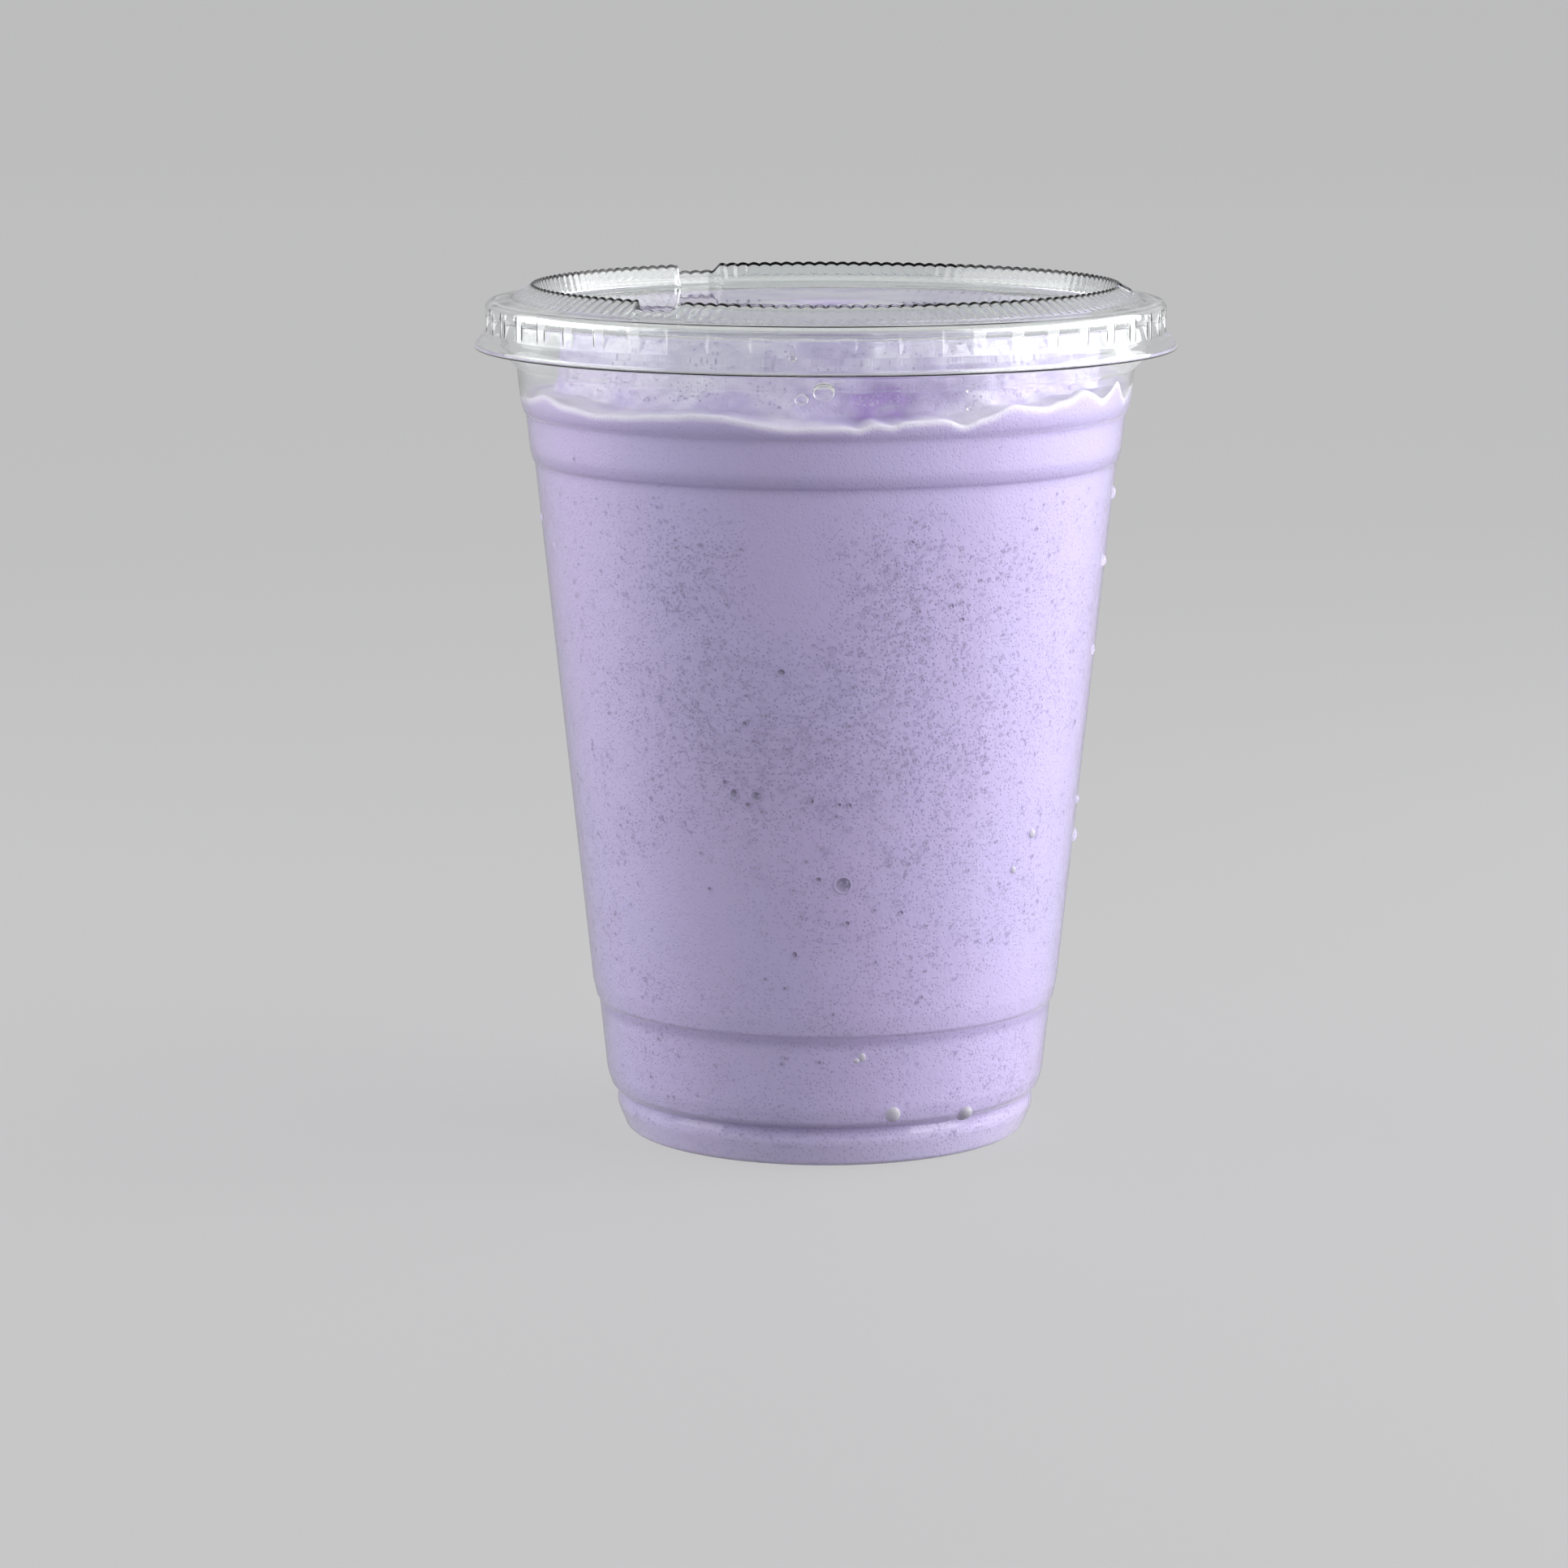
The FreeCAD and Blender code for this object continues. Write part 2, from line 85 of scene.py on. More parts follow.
# ---- lid ----------------------------------------------------------------------------------
LID_WALL = 0.35
LIP_RADIUS = round(LID_TOP.x, 2)
CREST_Z = round(LID_TOP.z, 2)
FLARE_DROP = 4.25            # top corner of the skirt to the start of its flare
FLARE_OUT, FLARE_TALL = 1.35, 1.6
LIP_OUT, LIP_TALL = 0.25, 0.75
SKIRT_RADIUS = LIP_RADIUS - FLARE_OUT - LIP_OUT
RIM_TOP_SLOPE = 0.143        # rise of the lid's rim towards the middle
RIM_TOP_WIDTH = 3.5
CROWN_RUN, CROWN_RISE = 3.5, 2.15
RECESS_LEAN = 1.0            # how far the recess narrows down to the panel
PANEL_DROP = 3.45
RIB_FOOT_RADIUS = SKIRT_RADIUS - RIM_TOP_WIDTH
RIB_FOOT_Z = CREST_Z - CROWN_RISE
SKIRT_TOP = RIB_FOOT_Z - RIM_TOP_SLOPE * RIM_TOP_WIDTH
FLARE_Z = SKIRT_TOP - FLARE_DROP
CREST_RADIUS = RIB_FOOT_RADIUS - CROWN_RUN
PANEL_RADIUS = CREST_RADIUS - RECESS_LEAN
PANEL_Z = CREST_Z - PANEL_DROP
RIB_COUNT = 156
RIB_DROP = 0.26              # depth of the valleys between ribs
RIB_ONSET = 7                # ribs reach this depth in one seventh of the climb
NOTCH_ANGLES = (-33.0, 87.0, -153.0)
NOTCH_WIDTH = 6.6
NOTCH_RUN = 1.9              # how far a notch cuts back from the crest
NOTCH_SIDE = 0.5             # width of the soft step at each side of a notch
NOTCH_FADE = 9               # how far into the panel a notch's cut is still felt
LUG_COUNT = 50
LUG_PITCH = CIRCLE / LUG_COUNT
LUG_WIDTH = 4.5
LUG_DEPTH = 0.45
LUG_FLANK_RUN = 0.8
LUG_LEDGE_Z = 119.88
LUG_LEDGE_LEAN = 0.32        # rise of a lug's ledge for each millimetre inwards
LUG_FOOT_GAP = 0.1           # from the flare up to where the lugs run out
SLOT_LENGTH, SLOT_WIDTH = 17.0, 0.4
PANEL_FLAT_RADIUS = SLOT_LENGTH + 4
LID_COLUMNS = 6 * RIB_COUNT
# Rings of the panel inside its flat edge: radius, points.
PANEL_RINGS = [(18.5, LID_COLUMNS // 3), (16.5, LID_COLUMNS // 6), (14.5, LID_COLUMNS // 18)]
SLOT_RING_RADIUS = 12.0

# ---- smoothie -----------------------------------------------------------------------------
FILL_INTO_WALL = 0.12        # how far the smoothie reaches into the cup's wall
FILL_DROP = 12.6             # rim down to the mean level at the wall
LEVEL_Z = CUP_HEIGHT - FILL_DROP
JOIN_Z = 104.5               # below it the smoothie is turned, above it follows its wavy edge
FRONT_DIP = 1.7
SIDE_LEAN = 0.75
EDGE_RIPPLE = 0.07
EDGE_WAVE_RADIUS = 44.0      # circle on which the waves of the edge are read
GUTTER_WIDTH = 5.4           # free ring between the wall and the heaped middle
LIP_WIDTH = 1.3
LIP_BULGE = 0.45
# The paler band under the edge is a painted highlight of the lip's lit crest.
LIP_HIGHLIGHT_TALL = 1.0               # height of the paler band under the edge
GUTTER_DROP = 0.30
HEAP_FOOT_LIFT = 0.2
HEAP_PRESS = 3.0             # how far the heap would rise above the lid's panel
HEAP_TOUCH = 0.05            # how far it presses into the panel
HEAP_SHARES = np.linspace(0, 1, 56)
HEAP_TOP_SHARES = [0.991, 0.9955, 0.9978, 0.999, 0.9997]
DENT_ANGLE, DENT_HALF_ANGLE = 10.0, 12.0     # degrees: middle and half width of the heap's dent
DENT_LIFT, DENT_HALF_TALL = 1.6, 2.7         # its middle above the mean level, and half height
DENT_DEPTH = 2.4
# Above PLAIN the shade is painted shade; below it, pale froth, paler foot and painted highlight
PLAIN = 0.5                  # plain lilac in the smoothie's shade; 0 is pale froth, 1 deep purple
LILAC = (0.54, 0.468, 0.722)
PANEL_UNDER_Z = PANEL_Z - LID_WALL
FILL_COLUMNS = 720
PIT_COUNT = 16000            # at most, of the tiny bubbles against the wall
PITS_END_Z = 95              # above it there are few bubbles against the wall
PORES_THIN_Z = 92            # above it the smoothie's own pores thin out


# ---- mesh tools ---------------------------------------------------------------------------
def short_way(angle, turn=360.0):
    """An angle brought to within half a turn of zero."""
    return (angle + turn / 2) % turn - turn / 2


def smooth_step(x):
    """0 below 0, 1 above 1, and 3x^2 - 2x^3 between them."""
    x = np.clip(x, 0, 1)
    return x * x * (3 - 2 * x)


def waves(points, size, seed, depth=1.0, squash=1.0):
    """Smooth unevenness, from about minus to plus twice the depth: a sum of waves about as long as
    size, each in a seeded direction with a seeded start, so that it also closes round the axis.
    squash makes the waves that much shorter upwards."""
    count = 28
    rng = np.random.default_rng(seed)
    heading = rng.normal(size=(count, 3))
    heading /= np.linalg.norm(heading, axis=1)[:, None]
    heading *= (CIRCLE / size * rng.uniform(0.6, 1.5, count))[:, None]
    starts = rng.uniform(0, CIRCLE, count)
    swell = np.sin((points * [1, 1, squash]) @ heading.T + starts).sum(-1) * math.sqrt(2 / count)
    return depth * swell


def moved_left(corners, distance):
    """A path of (radius, height, rounding) corners moved to its left, as a sheet's other face.
    Each corner goes to where its two moved sides meet, and its rounding changes by the distance."""
    least_rounding = 0.05
    path = np.array(corners, float)
    side = np.diff(path[:, :2], axis=0)
    side /= np.linalg.norm(side, axis=1)[:, None]
    left = np.stack([-side[:, 1], side[:, 0]], 1)
    both = left[:-1] + left[1:]
    turn = side[:-1, 0] * side[1:, 1] - side[:-1, 1] * side[1:, 0]
    path[1:-1, :2] += 2 * distance * both / (both * both).sum(1)[:, None]
    path[0, :2] += distance * left[0]
    path[-1, :2] += distance * left[-1]
    rounding = np.maximum(path[1:-1, 2] - np.sign(turn) * distance, least_rounding)
    path[1:-1, 2] = np.where(path[1:-1, 2] > 0, rounding, 0)
    return path


def rounded(corners, arc_step=14.0, line_step=2.5):
    """Points along a path of corners: each corner becomes an arc that touches both of its sides,
    with a point about every arc_step degrees, and straight stretches get one every line_step."""
    most_of_side, least_step = 0.49, 0.3
    corners = np.array(corners, float)
    spots = corners[:, :2]
    pieces = [spots[:1]]
    for i in range(1, len(spots) - 1):
        back, ahead = spots[i - 1] - spots[i], spots[i + 1] - spots[i]
        back_length, ahead_length = np.linalg.norm(back), np.linalg.norm(ahead)
        back, ahead = back / back_length, ahead / ahead_length
        half_turn = (math.pi - math.acos(max(-1.0, min(1.0, back @ ahead)))) / 2
        room = most_of_side * min(back_length, ahead_length)
        setback = min(corners[i, 2] * math.tan(half_turn), room)
        if setback < TINY:
            pieces.append(spots[i:i + 1])
            continue
        radius = setback / math.tan(half_turn)
        middle = (back + ahead) / np.linalg.norm(back + ahead)
        centre = spots[i] + middle * radius / math.cos(half_turn)
        first, last = spots[i] + back * setback - centre, spots[i] + ahead * setback - centre
        start = math.atan2(first[1], first[0])
        sweep = short_way(math.atan2(last[1], last[0]) - start, CIRCLE)
        turns = start + np.linspace(0, sweep, 2 + int(abs(math.degrees(sweep)) / arc_step))
        pieces.append(centre + radius * np.stack([np.cos(turns), np.sin(turns)], 1))
    pieces.append(spots[-1:])
    path = np.concatenate(pieces)
    run = np.concatenate([[0], np.cumsum(np.linalg.norm(np.diff(path, axis=0), axis=1))])
    extra = np.arange(line_step, run[-1], line_step)
    extra = extra[np.abs(extra[:, None] - run[None, :]).min(1) > least_step * line_step]
    stations = np.sort(np.concatenate([run, extra]))
    return np.stack([np.interp(stations, run, path[:, k]) for k in (0, 1)], 1)


def round_ring(radius, height, angles):
    """Points at a radius and a height, at angles in radians from the front."""
    radius, height = np.broadcast_to(radius, angles.shape), np.broadcast_to(height, angles.shape)
    return np.stack([radius * np.sin(angles), -radius * np.cos(angles), height], 1)


def full_turn(count):
    """Evenly spaced angles all the way round."""
    return np.arange(count) * 2 * math.pi / count


def turned(path, count):
    """Rings of a path turned about the axis; a point on the axis becomes a pole."""
    angles = full_turn(count)
    return [round_ring(r, z, angles) if r > TINY else np.array([[0, 0, z]]) for r, z in path]


def between(first, first_count, second, second_count):
    """Faces between two rings, given by their first numbers: squares where the counts are equal,
    a fan to a pole, and three-cornered faces to the nearest points where the counts differ."""
    if first_count < second_count:
        squares, triangles = between(second, second_count, first, first_count)
        return squares[:, ::-1], triangles[:, ::-1]
    i = np.arange(first_count)
    ahead = (i + 1) % first_count
    none = np.zeros((0, 4), int)
    if second_count == 1:
        return none, np.stack([first + i, first + ahead, np.full_like(i, second)], 1)
    if first_count == second_count:
        return np.stack([first + i, first + ahead, second + ahead, second + i], 1), none[:, :3]
    just_under_half = 0.4999
    place = (i + 0.5) * second_count / first_count + just_under_half
    nearest = np.floor(place).astype(int) % second_count
    fans = np.stack([first + i, first + ahead, second + nearest], 1)
    change = i[nearest != np.roll(nearest, 1)]
    steps = np.stack([first + change, second + nearest[change], second + nearest[change - 1]], 1)
    return none, np.concatenate([fans, steps])


def between_all(counts, order):
    """Faces between rings that follow each other in this order, given how many points each has."""
    starts = np.cumsum([0, *counts[:-1]])
    faces = [between(starts[i], counts[i], starts[j], counts[j]) for i, j in zip(order, order[1:])]
    return (np.concatenate([pair[k] for pair in faces]) for k in (0, 1))


def build(name, points, squares, triangles, smooth=True, **numbers):
    """A mesh object from points in millimetres; its faces are turned to point outwards.
    Each of numbers is a number for each point, which materials read by its name."""
    a, b, c = (points[triangles[:, k]] for k in range(3))
    p, q, r, s = (points[squares[:, k]] for k in range(4))
    volume = (np.cross(a, b) * c).sum() + (np.cross(p, q) * r).sum() + (np.cross(p, r) * s).sum()
    if volume < 0:
        squares, triangles = squares[:, ::-1], triangles[:, ::-1]
    mesh = bpy.data.meshes.new(name)
    mesh.vertices.add(len(points))
    mesh.vertices.foreach_set("co", (points * MM).astype(np.float32).ravel())
    corners = np.concatenate([squares.ravel(), triangles.ravel()]).astype(np.int32)
    mesh.loops.add(len(corners))
    mesh.loops.foreach_set("vertex_index", corners)
    sizes = np.concatenate([np.full(len(squares), 4), np.full(len(triangles), 3)])
    mesh.polygons.add(len(sizes))
    mesh.polygons.foreach_set("loop_start", (np.cumsum(sizes) - sizes).astype(np.int32))
    mesh.polygons.foreach_set("use_smooth", np.full(len(sizes), smooth))
    mesh.update(calc_edges=True)
    for title, values in numbers.items():
        held = mesh.attributes.new(title, "FLOAT", "POINT")
        held.data.foreach_set("value", values.astype(np.float32))
    piece = bpy.data.objects.new(name, mesh)
    bpy.context.scene.collection.objects.link(piece)
    return piece


def skin(name, rings, looped=False, **numbers):
    """A surface through rings of points; looped joins the last ring to the first."""
    order = [*range(len(rings)), 0] if looped else [*range(len(rings))]
    squares, triangles = between_all([len(ring) for ring in rings], order)
    return build(name, np.concatenate(rings), squares, triangles, **numbers)


# ---- cup ----------------------------------------------------------------------------------
def wall_radius(height):
    """Outer radius of the wall, with the shoulders that lie wholly below the height."""
    shoulders = sum(out for z, tall, out in WALL_STEPS if height >= z + tall)
    return FOOT_RADIUS + BAND_OUT + WALL_DRAFT * (height - BAND_Z) + shoulders


NECK_RADIUS = wall_radius(NECK_TOP_Z)
ROLL_CENTRE_RADIUS = NECK_RADIUS - CUP_WALL + ROLL_RADIUS


def cup_corners():
    """Outer line of the cup as (radius, height, rounding), from the middle of its base, round the
    foot and up the shoulders to the rim."""
    ring_outer = FOOT_RADIUS - RING_OUTER_INSET
    ring_inner = ring_outer - RING_WIDTH
    groove = FOOT_RADIUS - GROOVE_DEPTH
    corners = [
        (0, BASE_RISE, 0),
        (ring_inner - BASE_SLOPE_WIDTH, BASE_RISE, 1.0),
        (ring_inner, 0, 0.8),
        (ring_outer, 0, 0.9),
        (FOOT_RADIUS, FOOT_WIDEST_Z, 2.6),
        (groove, GROOVE_Z, 0.3),
        (groove + BAND_LEDGE_OUT, GROOVE_Z + BAND_LEDGE_TALL, 1.2),
        (FOOT_RADIUS + BAND_OUT, BAND_Z, 2.4),
    ]
    for z, tall, out in WALL_STEPS[:-1]:
        corners.append((wall_radius(z), z, LEDGE_ROUND))
        corners.append((wall_radius(z) + LEDGE_SHARE * out, z + LEDGE_TALL, STEP_ROUND))
        corners.append((wall_radius(z + tall), z + tall, STEP_ROUND))
    neck_z, neck_tall, _ = WALL_STEPS[-1]
    corners.append((wall_radius(neck_z), neck_z, STEP_ROUND))
    corners.append((wall_radius(neck_z + neck_tall), neck_z + neck_tall, STEP_ROUND))
    corners.append((NECK_RADIUS, NECK_TOP_Z, 1.0))
    corners.append((NECK_RADIUS, ROLL_Z, 0))
    return corners


def rolled(radius, count):
    """The rolled rim's arc, from the wall over the top and round to its free edge."""
    turns = np.radians(180 - np.linspace(0, ROLL_TURN, count))
    across, up = radius * np.cos(turns), radius * np.sin(turns)
    return np.stack([ROLL_CENTRE_RADIUS + across, ROLL_Z + up], 1)


def cup_shell():
    """The cup: a sheet turned about the axis, up its outer face, over the roll and back inside."""
    outer = np.concatenate([rounded(cup_corners())[:-1], rolled(ROLL_RADIUS, 26)])
    inside = rounded(moved_left(cup_corners(), CUP_WALL), line_step=3.0)
    inner = np.concatenate([inside[:-1], rolled(ROLL_RADIUS - CUP_WALL, 16)])
    return skin("cup_shell", turned(np.concatenate([outer, inner[::-1]]), CUP_COLUMNS))


# ---- lid ----------------------------------------------------------------------------------
def lid_corners():
    """Upper face of the lid as (radius, height, rounding), from its lip, up the skirt, over the
    ribbed crown to the flat panel."""
    return [
        (LIP_RADIUS, FLARE_Z - FLARE_TALL - LIP_TALL, 0),
        (SKIRT_RADIUS + FLARE_OUT, FLARE_Z - FLARE_TALL, 0.4),
        (SKIRT_RADIUS, FLARE_Z, 0.5),
        (SKIRT_RADIUS, LUG_LEDGE_Z, 0),
        (SKIRT_RADIUS, LUG_LEDGE_Z + LUG_DEPTH, 0),
        (SKIRT_RADIUS, SKIRT_TOP, 0.9),
        (RIB_FOOT_RADIUS, RIB_FOOT_Z, 0.3),
        (CREST_RADIUS, CREST_Z, 0.14),
        (PANEL_RADIUS, PANEL_Z, 0.7),
        (PANEL_FLAT_RADIUS, PANEL_Z, 0),
    ]


def lug_depth(radius, height, angles):
    """Depth of the pressed-in lugs: a 45 degree ledge on top, deepest under it, running out
    towards the flare, between two slanted flanks."""
    ledge_z = LUG_LEDGE_Z + LUG_LEDGE_LEAN * (SKIRT_RADIUS - radius)
    below = LUG_DEPTH * (height - FLARE_Z - LUG_FOOT_GAP) / (ledge_z - FLARE_Z - LUG_FOOT_GAP)
    above = LUG_DEPTH - (height - ledge_z)
    across = np.abs(short_way(angles / LUG_PITCH, 1)) * LUG_PITCH * SKIRT_RADIUS
    flank = (LUG_WIDTH / 2 - across) * LUG_DEPTH / LUG_FLANK_RUN
    depth = np.minimum(np.minimum(below, above), np.minimum(flank, LUG_DEPTH))
    return np.where(radius > SKIRT_RADIUS - 1, np.maximum(depth, 0), 0)


def notch_share(angles):
    """1 inside a notch of the crown and 0 outside it."""
    away = [np.abs(short_way(angles - math.radians(a), CIRCLE)) for a in NOTCH_ANGLES]
    across = np.minimum.reduce(away) * CREST_RADIUS
    return smooth_step((NOTCH_WIDTH / 2 - across) / NOTCH_SIDE + 0.5)


def lug_columns():
    """Angles of twenty columns to a lug, close together where its slanted flanks lie."""
    half = np.array([1.30, 1.45, 1.61, 1.77, 1.93, 2.09, 2.25, 2.36, 2.7])
    places = np.concatenate([-half[::-1], [0], half, [LUG_PITCH * SKIRT_RADIUS / 2]]) / SKIRT_RADIUS
    return (np.arange(LUG_COUNT)[:, None] * LUG_PITCH + places[None, :]).ravel()


def skirt_rings(path):
    """The rim and the skirt, with the lugs pressed inwards."""
    angles = lug_columns()
    return [round_ring(r - lug_depth(r, z, angles), z, angles) for r, z in path]


def crown_rings(path, foot, crest, panel):
    """The crown: its slope runs from foot to crest and its recess down to panel. At a notch the
    slope is shortened towards its foot and the recess widened to meet it. The ribs are arches of a
    sine, let into the slope by the depth of their valleys."""
    crest_slack, foot_slack = 0.02, 0.1
    angles = full_turn(LID_COLUMNS)[None, :]
    r, z = path[:, :1], path[:, 1:]
    inward = r < crest[0] + crest_slack
    climb = np.where(r < foot[0], np.clip((foot[0] - r) / (foot[0] - crest[0]), 0, 1), 0)
    down = np.where(inward, np.clip((crest[1] - z) / (crest[1] - panel[1]), 0, 1), 0)
    notch = notch_share(angles)
    kept = 1 - notch * NOTCH_RUN / CROWN_RUN
    crest_z = foot[1] + (crest[1] - foot[1]) * kept
    cone_r, cone_z = foot[0] - (foot[0] - r) * kept, foot[1] + (z - foot[1]) * kept
    fade = 1 - smooth_step((panel[0] - r) / NOTCH_FADE)
    wall_r = r + notch * (NOTCH_RUN + (crest[0] - panel[0]) * down) * fade
    wall_z = panel[1] + (crest_z - panel[1]) * (z - panel[1]) / (crest[1] - panel[1])
    on_crown = (r < foot[0]) & (z > foot[1] - foot_slack) & ~inward
    radius = np.where(on_crown, cone_r, np.where(inward, wall_r, r))
    height = np.where(on_crown, cone_z, np.where(inward, wall_z, z))
    valley = 1 - np.abs(np.sin(RIB_COUNT * angles / 2))
    height = height - RIB_DROP * valley * smooth_step(climb * RIB_ONSET) * (1 - down)
    return [round_ring(radius[k], height[k], angles[0]) for k in range(len(path))]


def lid_face(shift, arc_step, line_step):
    """Rings of one face of the lid, from the lip to the edge of its flat middle. Those of the skirt
    and the rim end a little outside the ribs, where those of the crown begin."""
    corners = moved_left(lid_corners(), shift) if shift else np.array(lid_corners(), float)
    path = rounded(corners, arc_step, line_step)
    on_rim = path[:, 0] > RIB_FOOT_RADIUS + 0.8
    return skirt_rings(path[on_rim]) + crown_rings(path[~on_rim], *corners[6:9])


def slot_outline(radius, height):
    """Thirteen points to a quarter turn; without a radius they follow the crossed straw slot, whose
    arms end at 1.35 degrees to each side of their middles."""
    bends = np.array([-45, -40, -32, -22, -12, -5, -1.35, 0, 1.35, 5, 12, 22, 34])
    angles = np.radians(np.concatenate([bends + 45 + quarter for quarter in (0, 90, 180, 270)]))
    if radius is None:
        off = np.abs(np.radians(np.tile(bends, 4)))
        side = SLOT_WIDTH / 2 / np.maximum(np.sin(off), TINY)
        radius = np.minimum(SLOT_LENGTH / 2 / np.cos(off), side)
    return round_ring(radius, height, angles)


def lid_panel(height):
    """The flat middle in ever fewer points, and the outline of the crossed straw slot."""
    rings = [round_ring(radius, height, full_turn(count)) for radius, count in PANEL_RINGS]
    return rings + [slot_outline(SLOT_RING_RADIUS, height), slot_outline(None, height)]


def lid_sheet():
    """The lid: its upper face down to the straw slot, then its underside back out to the lip."""
    upper = lid_face(0, 15.0, 0.62) + lid_panel(PANEL_Z)
    under = lid_face(LID_WALL, 26.0, 0.9) + lid_panel(PANEL_UNDER_Z)
    return skin("lid_sheet", upper + under[::-1], looped=True)


# ---- smoothie -----------------------------------------------------------------------------
INSIDE_LINE = rounded(moved_left(cup_corners(), CUP_WALL - FILL_INTO_WALL), 14.0, 0.5)

# Darker bands round the cup, painted shade under its shoulders and in its groove, and the paler
# foot: height, reach below and above it, change of shade.
PAINTED_SHADE_BANDS = [
    (2.6, 3.0, 2.0, -0.07), (GROOVE_Z, 0.7, 0.9, 0.31), (18.9, 0.8, 0.9, 0.27),
    (99.15, 0.85, 1.4, 0.27), (106.1, 0.85, 1.4, 0.22),
]

# Humps and dips of the edge at the wall: angle, half width in degrees, height.
EDGE_HUMPS = [
    (-64, 6, 1.2), (-45, 8, -0.5), (-21, 9, 0.95), (6, 1.3, -0.3), (9.2, 1.5, 0.35),
    (12.4, 1.6, -0.4), (25.8, 3.4, -1.5), (31, 2.6, -0.5), (36.5, 3, 0.45), (44, 3, -0.4),
    (55, 3.6, 1.2), (62, 2.0, -0.5), (68.5, 2.4, 1.5), (75, 3.0, -1.2), (105, 8, 0.8),
    (130, 6, -0.6), (160, 9, 0.7), (-110, 7, -0.6), (-140, 9, 0.8),
]


def inside_radius(height):
    """Radius of the smoothie where it meets the wall."""
    side = INSIDE_LINE[INSIDE_LINE[:, 0] > FOOT_RADIUS - 1]
    return np.interp(height, side[:, 1], side[:, 0])


def edge_waves(angles, size, seed, depth):
    """Unevenness along the edge, read on a circle so that it closes."""
    return waves(round_ring(EDGE_WAVE_RADIUS, 0.0, angles), size, seed, depth)


def level(angles):
    """Height of the edge at the wall: the mean level, a lean by the sine of the angle, a dip in
    front by a high power of the cosine of half the angle, bell-shaped humps and small ripples."""
    edge = LEVEL_Z + SIDE_LEAN * np.sin(angles) - FRONT_DIP * np.cos(angles / 2) ** 40
    for place, half_width, tall in EDGE_HUMPS:
        away = short_way(np.degrees(angles) - place)
        edge = edge + tall * np.exp(-(away / half_width) ** 2)
    return edge + edge_waves(angles, 6.0, 5, EDGE_RIPPLE)


def hollow(angles, height):
    """How far the dent in the front of the heap goes in: a bell shape round and up."""
    across = short_way(np.degrees(angles)) - DENT_ANGLE
    up = (height - LEVEL_Z - DENT_LIFT) / DENT_HALF_TALL
    return DENT_DEPTH * np.exp(-(across / DENT_HALF_ANGLE) ** 2 - up * up)


def heap_ring(angles, share):
    """Radius and height of a ring of the heap, a steep-sided dome; share runs from 0 at its foot to
    1 at its top. The height goes with the root of the sine of the climb, the radius with the root
    of its cosine. Waves of three sizes make both uneven, and the lid presses the top flat."""
    climb = math.pi / 2 * share ** 2
    foot = (level(angles) + LEVEL_Z) / 2 + HEAP_FOOT_LIFT
    rise = math.sqrt(math.sin(climb))
    top = PANEL_UNDER_Z + HEAP_PRESS
    height = foot + (top - foot) * rise
    base = inside_radius(LEVEL_Z) - FILL_INTO_WALL - GUTTER_WIDTH
    spot = round_ring(base, height, angles)
    big = waves(spot, 22.0, 11, 0.34)
    mid = waves(spot, 8.0, 12, 0.15, 1.7)
    fine = waves(spot, 2.6, 13, 0.045, 1.5)
    fade = math.sqrt(max(math.cos(climb), 0.0))
    radius = (base + big) * fade + (mid + fine) * min(1.0, 3 * fade) - hollow(angles, height) * fade
    lift = waves(round_ring(base * fade, 0 * height, angles), 9.0, 14, 0.35) * (1 - fade) * rise
    height = np.minimum(height + lift, PANEL_UNDER_Z + HEAP_TOUCH)
    return np.maximum(radius, 0.5), height


def smoothie_shade(points):
    """Shade of the smoothie: plain lilac, with painted shade a little darker in front and in bands
    at shoulders and groove, a painted highlight along the edge, pale on the frothy, smeared heap,
    and painted shade of deep purple in its dent."""
    painted_front_shade, edge_highlight, froth_pale, painted_dent_shade = 0.03, 0.40, 0.34, 0.70
    froth_start, froth_run = 2.0, 3.5
    front_shade_angle, front_shade_half_width = -5, 15
    around = np.arctan2(points[:, 0], -points[:, 1])
    height = points[:, 2]
    from_wall = inside_radius(height) - np.hypot(points[:, 0], points[:, 1])
    # painted highlight: paler along the edge, where the lip's crest catches light from above
    edge = smooth_step((height - level(around) + LIP_HIGHLIGHT_TALL) / LIP_HIGHLIGHT_TALL)
    froth = smooth_step((from_wall - froth_start) / froth_run) * (height > LEVEL_Z - 4)
    smears = 0.5 + waves(points, 12.0, 21, 0.25, 1.6) + waves(points, 4.0, 22, 0.12, 2.0)
    # painted shade: a little darker in front, where the side lamps light the drink least
    front_shade = np.exp(-((np.degrees(around) - front_shade_angle) / front_shade_half_width) ** 2)
    shade = PLAIN + painted_front_shade * front_shade * (1 - froth) - edge_highlight * edge * (1 - froth)
    shade = shade - froth * np.clip(smears, 0.0, 1.0) * froth_pale
    # painted shade in bands under the shoulders and in the groove, and a paler band on the foot
    for place, below, above, change in PAINTED_SHADE_BANDS:
        away = (height - place) / np.where(height < place, below, above)
        shade = shade + change * np.exp(-away * away) * (1 - edge)
    # painted shade: deep purple in the heap's dent
    deep = froth * hollow(around, height) / DENT_DEPTH * painted_dent_shade
    return np.clip(shade + deep * (1 + waves(points, 5.0, 23, 0.22, 2.2)), 0, 1)


